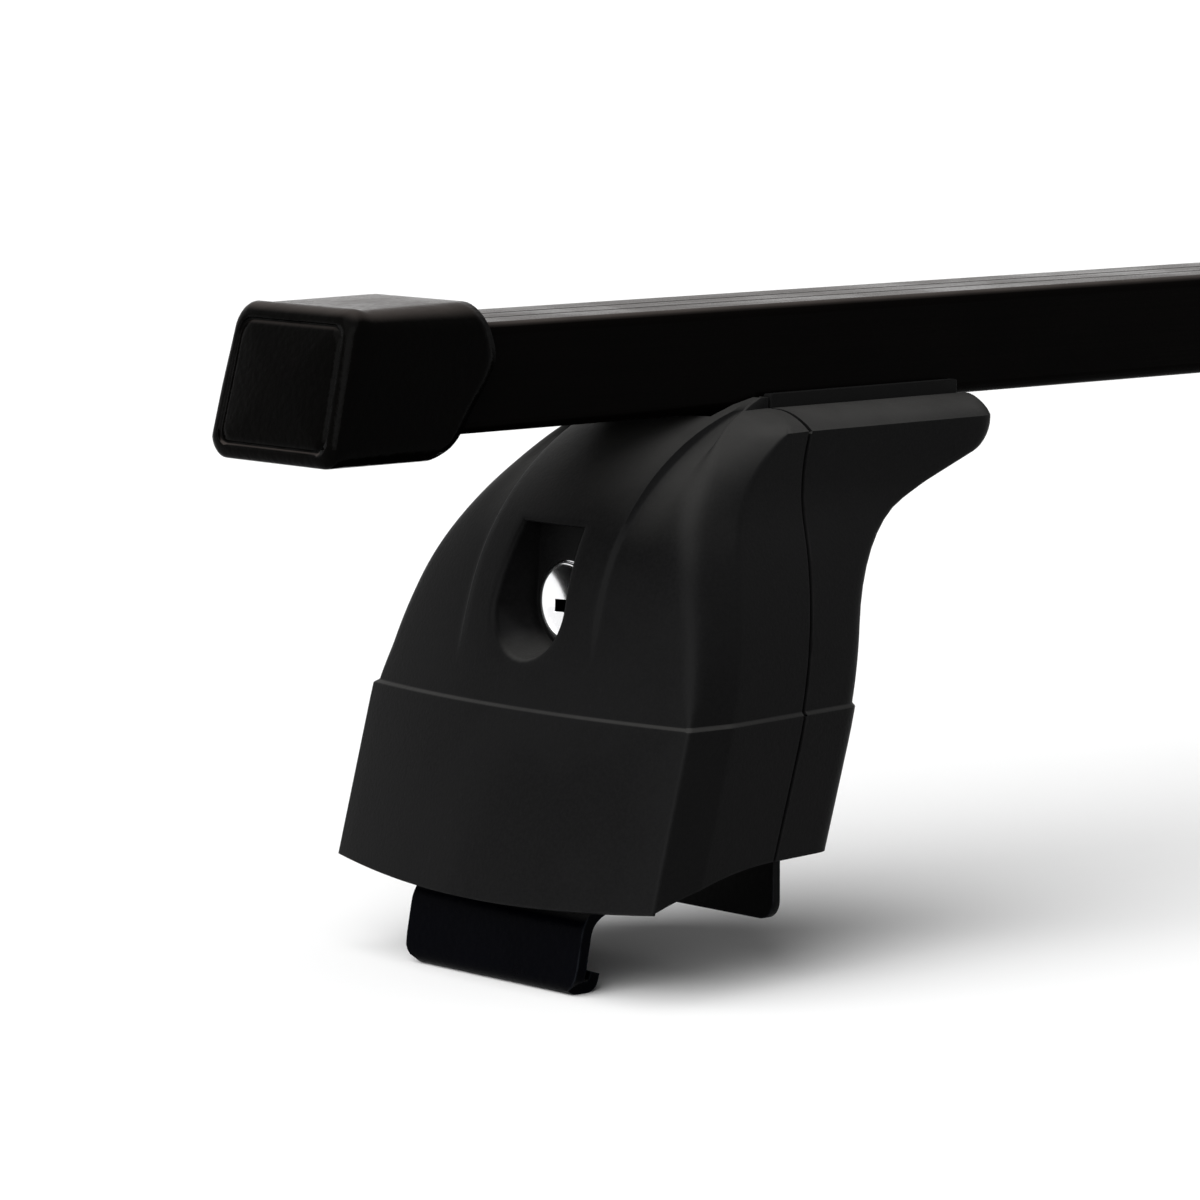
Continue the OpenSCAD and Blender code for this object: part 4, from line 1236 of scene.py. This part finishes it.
def new_group(name, inputs, outputs):
    """An empty shader node group with named inputs, each with its default, and named outputs."""
    tree = bpy.data.node_groups.new(name, "ShaderNodeTree")
    for label, default in inputs.items():
        socket = tree.interface.new_socket(label, in_out="INPUT", socket_type="NodeSocketFloat")
        socket.default_value = default
    for label in outputs:
        tree.interface.new_socket(label, in_out="OUTPUT", socket_type="NodeSocketFloat")
    return tree, tree.nodes.new("NodeGroupInput").outputs, tree.nodes.new("NodeGroupOutput").inputs


def moulded_grain():
    """Sand-like grain of a moulded or sprayed skin."""
    tree, given, out = new_group("moulded_grain", {"Scale": 1500.0, "Pebble": 0.4}, ("Height", "Shade"))
    place = object_place(tree)
    sand = noise(tree, place, given["Scale"], 3.0, 0.65)
    sockets = {"Vector": place, "Scale": maths(tree, "MULTIPLY", given["Scale"], 0.7), "Smoothness": 0.6}
    cells = node(tree, "ShaderNodeTexVoronoi", sockets, feature="SMOOTH_F1").outputs["Distance"]
    pebble = product(tree, maths(tree, "SUBTRACT", 0.55, cells), given["Pebble"])
    tree.links.new(maths(tree, "ADD", sand, pebble), out["Height"])
    tree.links.new(remap(tree, sand, 0.34, 0.66), out["Shade"])
    return tree


def soft_marks():
    """Broad cloudiness and faint rubbed streaks of a handled surface."""
    tree, given, out = new_group("soft_marks", {"Scale": 30.0, "Streak length": 8.0}, ("Cloud", "Streak"))
    place = object_place(tree)
    cloud = noise(tree, place, given["Scale"], 4.0, 0.55, 0.4)
    lean = node(tree, "ShaderNodeMapping", {"Vector": place, "Rotation": (0.5, 0.7, 0.3)}).outputs["Vector"]
    fine = maths(tree, "MULTIPLY", given["Scale"], 30.0)
    streak = noise(tree, stretched(tree, lean, given["Streak length"]), fine, 2.0)
    patches = product(tree, remap(tree, streak, 0.62, 0.74), remap(tree, cloud, 0.45, 0.65))
    tree.links.new(remap(tree, cloud, 0.3, 0.7), out["Cloud"])
    tree.links.new(patches, out["Streak"])
    return tree


def edge_rub():
    """Mask of edges and corners, broken up where they are rubbed."""
    tree, given, out = new_group("edge_rub", {"Radius": 0.7 * MM, "Break up": 220.0}, ("Mask",))
    rounded = node(tree, "ShaderNodeBevel", {"Radius": given["Radius"]}, samples=3).outputs["Normal"]
    plain = node(tree, "ShaderNodeNewGeometry").outputs["Normal"]
    made = node(tree, "ShaderNodeVectorMath", {0: rounded, 1: plain}, operation="DOT_PRODUCT")
    edge = remap(tree, made.outputs["Value"], 0.995, 0.86)
    patchy = noise(tree, object_place(tree), given["Break up"], 3.0)
    tree.links.new(product(tree, edge, remap(tree, patchy, 0.35, 0.6)), out["Mask"])
    return tree


def dust_and_painted_sheen():
    """Mask of the faces that look up, for fine dust in patches and a painted sheen of the light from above.
    """
    tree, given, out = new_group("dust_and_painted_sheen", {"Scale": 90.0}, ("Mask",))
    upward = split(tree, node(tree, "ShaderNodeNewGeometry").outputs["Normal"])["Z"]
    patchy = noise(tree, object_place(tree), given["Scale"], 5.0)
    dust = product(tree, remap(tree, upward, 0.5, 1.0), remap(tree, patchy, 0.2, 0.7, 0.75, 1))
    tree.links.new(dust, out["Mask"])
    return tree


def keyway_painted_shade():
    """Mask of the keyway's inside, at either end of the bar, where painted shade darkens the slot."""
    start_x = abs(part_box("lock_plug_left")[0].x) - 2.1 * MM
    middle_z = FOOT_Z - bpy.context.scene.rack_foot.lock_drop - KEYWAY_DROP
    tree, given, out = new_group("keyway_painted_shade", {"Start": start_x}, ("Mask",))
    place = split(tree, object_place(tree))

    def within(value, limit):
        return maths(tree, "LESS_THAN", maths(tree, "ABSOLUTE", value), limit)

    wide = within(place["Y"], KEYWAY_HALF_W + 0.02 * MM)
    high = within(maths(tree, "SUBTRACT", place["Z"], middle_z), KEYWAY_HALF_H + 0.02 * MM)
    tree.links.new(product(tree, wide, high, within(place["X"], given["Start"])), out["Mask"])
    return tree


def drawn_lines():
    """Fine lines along the bar or plate, left by rolling, extruding or brushing."""
    tree, given, out = new_group("drawn_lines", {"Scale": 1200.0, "Stretch": 60.0}, ("Height", "Shade"))
    lines = noise(tree, stretched(tree, object_place(tree), given["Stretch"]), given["Scale"], 3.0, 0.6)
    tree.links.new(lines, out["Height"])
    tree.links.new(remap(tree, lines, 0.38, 0.62), out["Shade"])
    return tree


def place_group(tree, build, **values):
    """Places the node group that build makes, with its own values. It is built once and shared."""
    made = tree.nodes.new("ShaderNodeGroup")
    made.node_tree = bpy.data.node_groups.get(build.__name__) or build()
    for name, value in values.items():
        made.inputs[name].default_value = value
    return made.outputs


def new_material(name):
    """A material with only a Principled shader."""
    material = bpy.data.materials.new(name)
    material.use_nodes = True
    tree = material.node_tree
    tree.nodes.clear()
    out = tree.nodes.new("ShaderNodeOutputMaterial")
    shader = tree.nodes.new("ShaderNodeBsdfPrincipled")
    tree.links.new(shader.outputs["BSDF"], out.inputs["Surface"])
    return material, tree, shader


def colour(rgb, gain=1.0):
    """A socket's colour, lighter or darker by a gain."""
    return (rgb[0] * gain, rgb[1] * gain, rgb[2] * gain, 1)


def finish_skin(name, rgb, roughness, specular, grain, pebble, relief, marks=28.0, lines=0.0, metallic=0.0,
                rub=0.0, rub_colour=None, dust=0.0, dust_and_sheen_colour=(0.06, 0.059, 0.057), vary=1.0):
    """A moulded, painted or drawn skin: its colour with grain, marks, rubbed edges, dust with a painted
    sheen, and relief.

    grain is the grain's size and relief its height, in metres; pebble, rub, dust and vary are how
    strong the pebbled grain, the rubbed edges, the dust with its painted sheen on upward faces and all
    changes of tone are; marks and lines are the scales of the marks and of the drawn lines."""
    name += "_finish"
    if name in bpy.data.materials:
        return bpy.data.materials[name]
    material, tree, shader = new_material(name)
    skin = place_group(tree, moulded_grain, Scale=0.7 / grain, Pebble=pebble)
    mark = place_group(tree, soft_marks, Scale=marks)
    tone = blend(tree, mark["Cloud"], colour(rgb, 1 - 0.16 * vary), colour(rgb, 1 + 0.16 * vary))
    tone = blend(tree, product(tree, skin["Shade"], 0.4), tone, colour(rgb, 1 + 0.45 * vary))
    tone = blend(tree, product(tree, mark["Streak"], 0.25), tone, colour(rgb, 1 + 1.2 * vary))
    clouded = remap(tree, mark["Cloud"], 0, 1, roughness - 0.05 * vary, roughness + 0.05 * vary)
    rough = maths(tree, "ADD", clouded, product(tree, skin["Shade"], 0.06 * vary))
    height = skin["Height"]
    if lines:
        drawn = place_group(tree, drawn_lines, Scale=lines)
        height = maths(tree, "ADD", product(tree, height, 0.5), drawn["Height"])
        tone = blend(tree, product(tree, drawn["Shade"], 0.35), tone, colour(rgb, 1.5))
        rough = maths(tree, "ADD", rough, product(tree, drawn["Shade"], 0.08))
    if rub:
        worn = place_group(tree, edge_rub)["Mask"]
        tone = blend(tree, product(tree, worn, rub), tone, colour(rub_colour or rgb))
        rough = maths(tree, "SUBTRACT", rough, product(tree, worn, 0.08))
    # Dust and painted sheen: faces that look up are made lighter, partly dust, partly painted light from
    # above
    if dust:
        dust_and_sheen_mask = place_group(tree, dust_and_painted_sheen)["Mask"]
        tone = blend(tree, product(tree, dust_and_sheen_mask, dust), tone, colour(dust_and_sheen_colour))
    tree.links.new(tone, shader.inputs["Base Color"])
    tree.links.new(rough, shader.inputs["Roughness"])
    bump = node(tree, "ShaderNodeBump", {"Height": height, "Strength": 0.7, "Distance": relief})
    tree.links.new(bump.outputs["Normal"], shader.inputs["Normal"])
    shader.inputs["Specular IOR Level"].default_value = specular
    shader.inputs["Metallic"].default_value = metallic
    return material


def foot_plastic(colours):
    """Charcoal plastic of the foot's shells, with a fine sand grain, and dust with a painted sheen on its
    upward faces.
    """
    return finish_skin(
        "foot_plastic", colours.foot, roughness=0.4, specular=0.024, grain=0.5 * MM, pebble=0.3,
        relief=0.08 * MM, rub=0.22, rub_colour=colours.foot_worn, dust=0.6)


def cap_plastic(colours):
    """Black plastic of the end caps, with a leathery grain, and warm dust with a painted sheen on its
    upward faces.
    """
    return finish_skin(
        "cap_plastic", colours.cap, roughness=0.17, specular=0.012, grain=0.8 * MM, pebble=0.8,
        relief=0.1 * MM, rub=0.3, rub_colour=colours.foot_worn, dust=0.9, dust_and_sheen_colour=colours.dust)


def sheath_plastic(colours):
    """Black extruded skin of the bar, with fine lines along it, and warm dust with a painted sheen on its
    upward faces.
    """
    return finish_skin(
        "sheath_plastic", colours.sheath, roughness=0.17, specular=0.01, grain=0.5 * MM, pebble=0.1,
        relief=0.02 * MM, lines=1400.0, dust=0.9, dust_and_sheen_colour=colours.dust)


def jaw_paint(colours):
    """Blue-black powder coat of the outer jaws, with dust and a painted sheen on its upward faces."""
    return finish_skin(
        "jaw_paint", colours.jaw, roughness=0.3, specular=0.012, grain=0.8 * MM, pebble=0.9,
        relief=0.06 * MM, rub=0.4, rub_colour=colours.jaw_worn, dust=1.0)


def plate_paint(colours):
    """Black paint of the plates inboard of the rail."""
    return finish_skin(
        "plate_paint", colours.plate, roughness=0.4, specular=0.04, grain=0.7 * MM, pebble=0.7,
        relief=0.05 * MM, rub=0.4, rub_colour=colours.jaw_worn)


def rubber(colours):
    """Matt black rubber of the pads."""
    return finish_skin(
        "rubber", colours.rubber, roughness=0.7, specular=0.05, grain=0.35 * MM, pebble=0.2,
        relief=0.04 * MM, marks=60.0)


def black_screw(colours):
    """Black oxide of the small screws."""
    return finish_skin(
        "black_screw", colours.rubber, roughness=0.38, specular=0.3, grain=0.3 * MM, pebble=0.1,
        relief=0.01 * MM, metallic=0.4, rub=0.5, rub_colour=colours.steel)


def frame_steel(colours):
    """Rolled bare steel of the bracket."""
    return finish_skin(
        "frame_steel", colours.steel, roughness=0.4, specular=0.5, grain=0.6 * MM, pebble=0.2,
        relief=0.015 * MM, lines=900.0, metallic=0.95, rub=0.5, rub_colour=colours.zinc)


def bar_steel(colours):
    """Drawn steel of the bar's tube."""
    return finish_skin(
        "bar_steel", colours.steel, roughness=0.36, specular=0.5, grain=0.5 * MM, pebble=0.1,
        relief=0.015 * MM, lines=1300.0, metallic=0.95)


def plated_steel(colours):
    """Zinc plating of the bolts, nuts and washers."""
    return finish_skin(
        "plated_steel", colours.zinc, roughness=0.3, specular=0.5, grain=0.5 * MM, pebble=0.3,
        relief=0.01 * MM, marks=180.0, metallic=1.0, rub=0.4, rub_colour=colours.chrome)


def lock_chrome(colours):
    """Bright plating of the lock, with painted shade inside the keyway."""
    if "lock_chrome_finish" in bpy.data.materials:
        return bpy.data.materials["lock_chrome_finish"]
    material = finish_skin(
        "lock_chrome", colours.chrome, roughness=0.11, specular=0.5, grain=0.5 * MM, pebble=0.05,
        relief=0.001 * MM, marks=120.0, metallic=1.0, vary=0.15)
    tree = material.node_tree
    shader = next(item for item in tree.nodes if item.bl_idname == "ShaderNodeBsdfPrincipled")
    # Painted shade: the keyway's inside is made near black
    inside = place_group(tree, keyway_painted_shade)["Mask"]
    plain = shader.inputs["Base Color"].links[0].from_socket
    tree.links.new(blend(tree, inside, plain, KEYWAY_SHADE_COLOUR), shader.inputs["Base Color"])
    return material


# Stage

FLOOR_HALF = 15
# The floor's colour where it is seen, and where it only throws light back
FLOOR_SEEN = (0.97, 0.97, 0.97, 1)
FLOOR_LIT = (0.1, 0.1, 0.1, 1)
# Strength of the white room where it only gives light
ROOM_LIGHT = 0.14
# Name, direction towards the light, strength and angle across in degrees
LIGHTS = (("key", (-0.6, -0.08, 0.79), 3.0, 80), ("fill", (-0.87, -0.38, 0.28), 2.5, 60))
# The photograph's point of view
CAMERA_PLACE = (-1.263, -0.9047, 0.227)
CAMERA_AZIMUTH = -41.5
CAMERA_ELEVATION = 7.12
LENS = 176.35
SENSOR_WIDTH = 36


def seen_directly(tree):
    """1 for rays from the camera and for reflected and transmitted ones, 0 for those that only light."""
    path = node(tree, "ShaderNodeLightPath").outputs
    shown = maths(tree, "MAXIMUM", path["Is Camera Ray"], path["Is Glossy Ray"])
    return maths(tree, "MAXIMUM", shown, path["Is Transmission Ray"])


def add_floor(scene):
    """Pale paper floor that keeps the object's shadow."""
    bm = bmesh.new()
    bmesh.ops.create_grid(bm, x_segments=1, y_segments=1, size=FLOOR_HALF)
    mesh = bpy.data.meshes.new("floor")
    bm.to_mesh(mesh)
    bm.free()
    floor = bpy.data.objects.new("floor", mesh)
    scene.collection.objects.link(floor)
    material, tree, shader = new_material("floor_paper")
    paper = blend(tree, seen_directly(tree), FLOOR_LIT, FLOOR_SEEN)
    tree.links.new(paper, shader.inputs["Base Color"])
    shader.inputs["Roughness"].default_value = 1
    shader.inputs["Specular IOR Level"].default_value = 0
    mesh.materials.append(material)


def add_room(scene):
    """White room round the object."""
    world = bpy.data.worlds.new("studio")
    scene.world = world
    world.use_nodes = True
    tree = world.node_tree
    background = tree.nodes["Background"]
    strength = remap(tree, seen_directly(tree), 0, 1, ROOM_LIGHT, 1)
    tree.links.new(strength, background.inputs["Strength"])
    background.inputs["Color"].default_value = (1, 1, 1, 1)


def add_lights(scene):
    """Broad soft lights."""
    for name, toward, strength, angle in LIGHTS:
        light = bpy.data.lights.new(name, "SUN")
        light.energy = strength
        light.angle = math.radians(angle)
        lamp = bpy.data.objects.new(name, light)
        lamp.rotation_euler = Vector(toward).to_track_quat("Z", "Y").to_euler()
        scene.collection.objects.link(lamp)


def add_camera(scene):
    """Camera at the photograph's point of view."""
    camera = bpy.data.cameras.new("camera")
    camera.lens = LENS
    camera.sensor_width = SENSOR_WIDTH
    eye = bpy.data.objects.new("camera", camera)
    eye.location = CAMERA_PLACE
    eye.rotation_euler = (math.radians(90 - CAMERA_ELEVATION), 0, math.radians(CAMERA_AZIMUTH))
    scene.collection.objects.link(eye)
    scene.camera = eye


# Finish and edge width of each CAD node that is shown as it is
CARRIED = {
    "bar_tube": (bar_steel, 0.3), "bar_sheath": (sheath_plastic, 0.15),
    "saddle_pad": (rubber, 0.5), "foot_frame": (frame_steel, 0.3), "strike_plate": (frame_steel, 0.2),
    "lock_cam": (plated_steel, 0.2), "cam_screw": (plated_steel, 0.2), "t_bolts": (plated_steel, 0.3),
    "bar_washers": (plated_steel, 0.15), "bar_nuts": (plated_steel, 0.3), "inner_jaw": (plate_paint, 0.35),
    "rail_pad": (rubber, 0.5), "clamp_bolt": (plated_steel, 0.3), "clamp_washer": (plated_steel, 0.15),
    "clamp_nut": (plated_steel, 0.3), "shell_screws": (black_screw, 0.2),
}


class RACK_OT_finishes(bpy.types.Operator):
    """Finishes of the carried CAD pieces: softened edges and procedural materials"""
    bl_idname = "rack.finishes"
    bl_label = "Finishes"

    def execute(self, context):
        for name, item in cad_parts.items():
            kind = name.removesuffix("_left").removesuffix("_right")
            if kind not in CARRIED:
                continue
            finish, width = CARRIED[kind]
            material = finish(context.scene.rack_colours)
            for slot in item.material_slots:
                slot.material = material
            weld = item.modifiers.new("weld", "WELD")
            weld.merge_threshold = 1e-6
            add_bevel(item, width * MM, angle=40)
        return {"FINISHED"}


class RACK_OT_stage(bpy.types.Operator):
    """Pale floor, soft studio light and the camera"""
    bl_idname = "rack.stage"
    bl_label = "Stage"

    def execute(self, context):
        context.scene.view_settings.view_transform = "Standard"
        add_floor(context.scene)
        add_room(context.scene)
        add_lights(context.scene)
        add_camera(context.scene)
        return {"FINISHED"}


class RACK_PT_panel(bpy.types.Panel):
    """Lists the rack's pieces"""
    bl_label = "Roof rack"
    bl_idname = "RACK_PT_panel"
    bl_space_type = "VIEW_3D"
    bl_region_type = "UI"
    bl_category = "Roof rack"

    def draw(self, context):
        for operator in PIECES:
            self.layout.operator(operator.bl_idname)


PIECES = (RACK_OT_stage, RACK_OT_covers, RACK_OT_inner_shells, RACK_OT_end_caps, RACK_OT_outer_jaws,
          RACK_OT_locks, RACK_OT_finishes)
GROUPS = {"rack_foot": RackFootSizes, "rack_cap": RackCapSizes, "rack_jaw": RackJawSizes,
          "rack_colours": RackColours}


def register():
    """Registers the classes, and hangs the size groups on the scene."""
    for group in GROUPS.values():
        bpy.utils.register_class(group)
    for name, group in GROUPS.items():
        setattr(bpy.types.Scene, name, PointerProperty(type=group))
    for operator in PIECES:
        bpy.utils.register_class(operator)
    bpy.utils.register_class(RACK_PT_panel)


def unregister():
    """Takes back what register did."""
    bpy.utils.unregister_class(RACK_PT_panel)
    for operator in reversed(PIECES):
        bpy.utils.unregister_class(operator)
    for name, group in reversed(GROUPS.items()):
        delattr(bpy.types.Scene, name)
        bpy.utils.unregister_class(group)


def main():
    """Builds the whole object."""
    register()
    for operator in PIECES:
        category, name = operator.bl_idname.split(".")
        getattr(getattr(bpy.ops, category), name)()


if __name__ == "__main__":
    main()
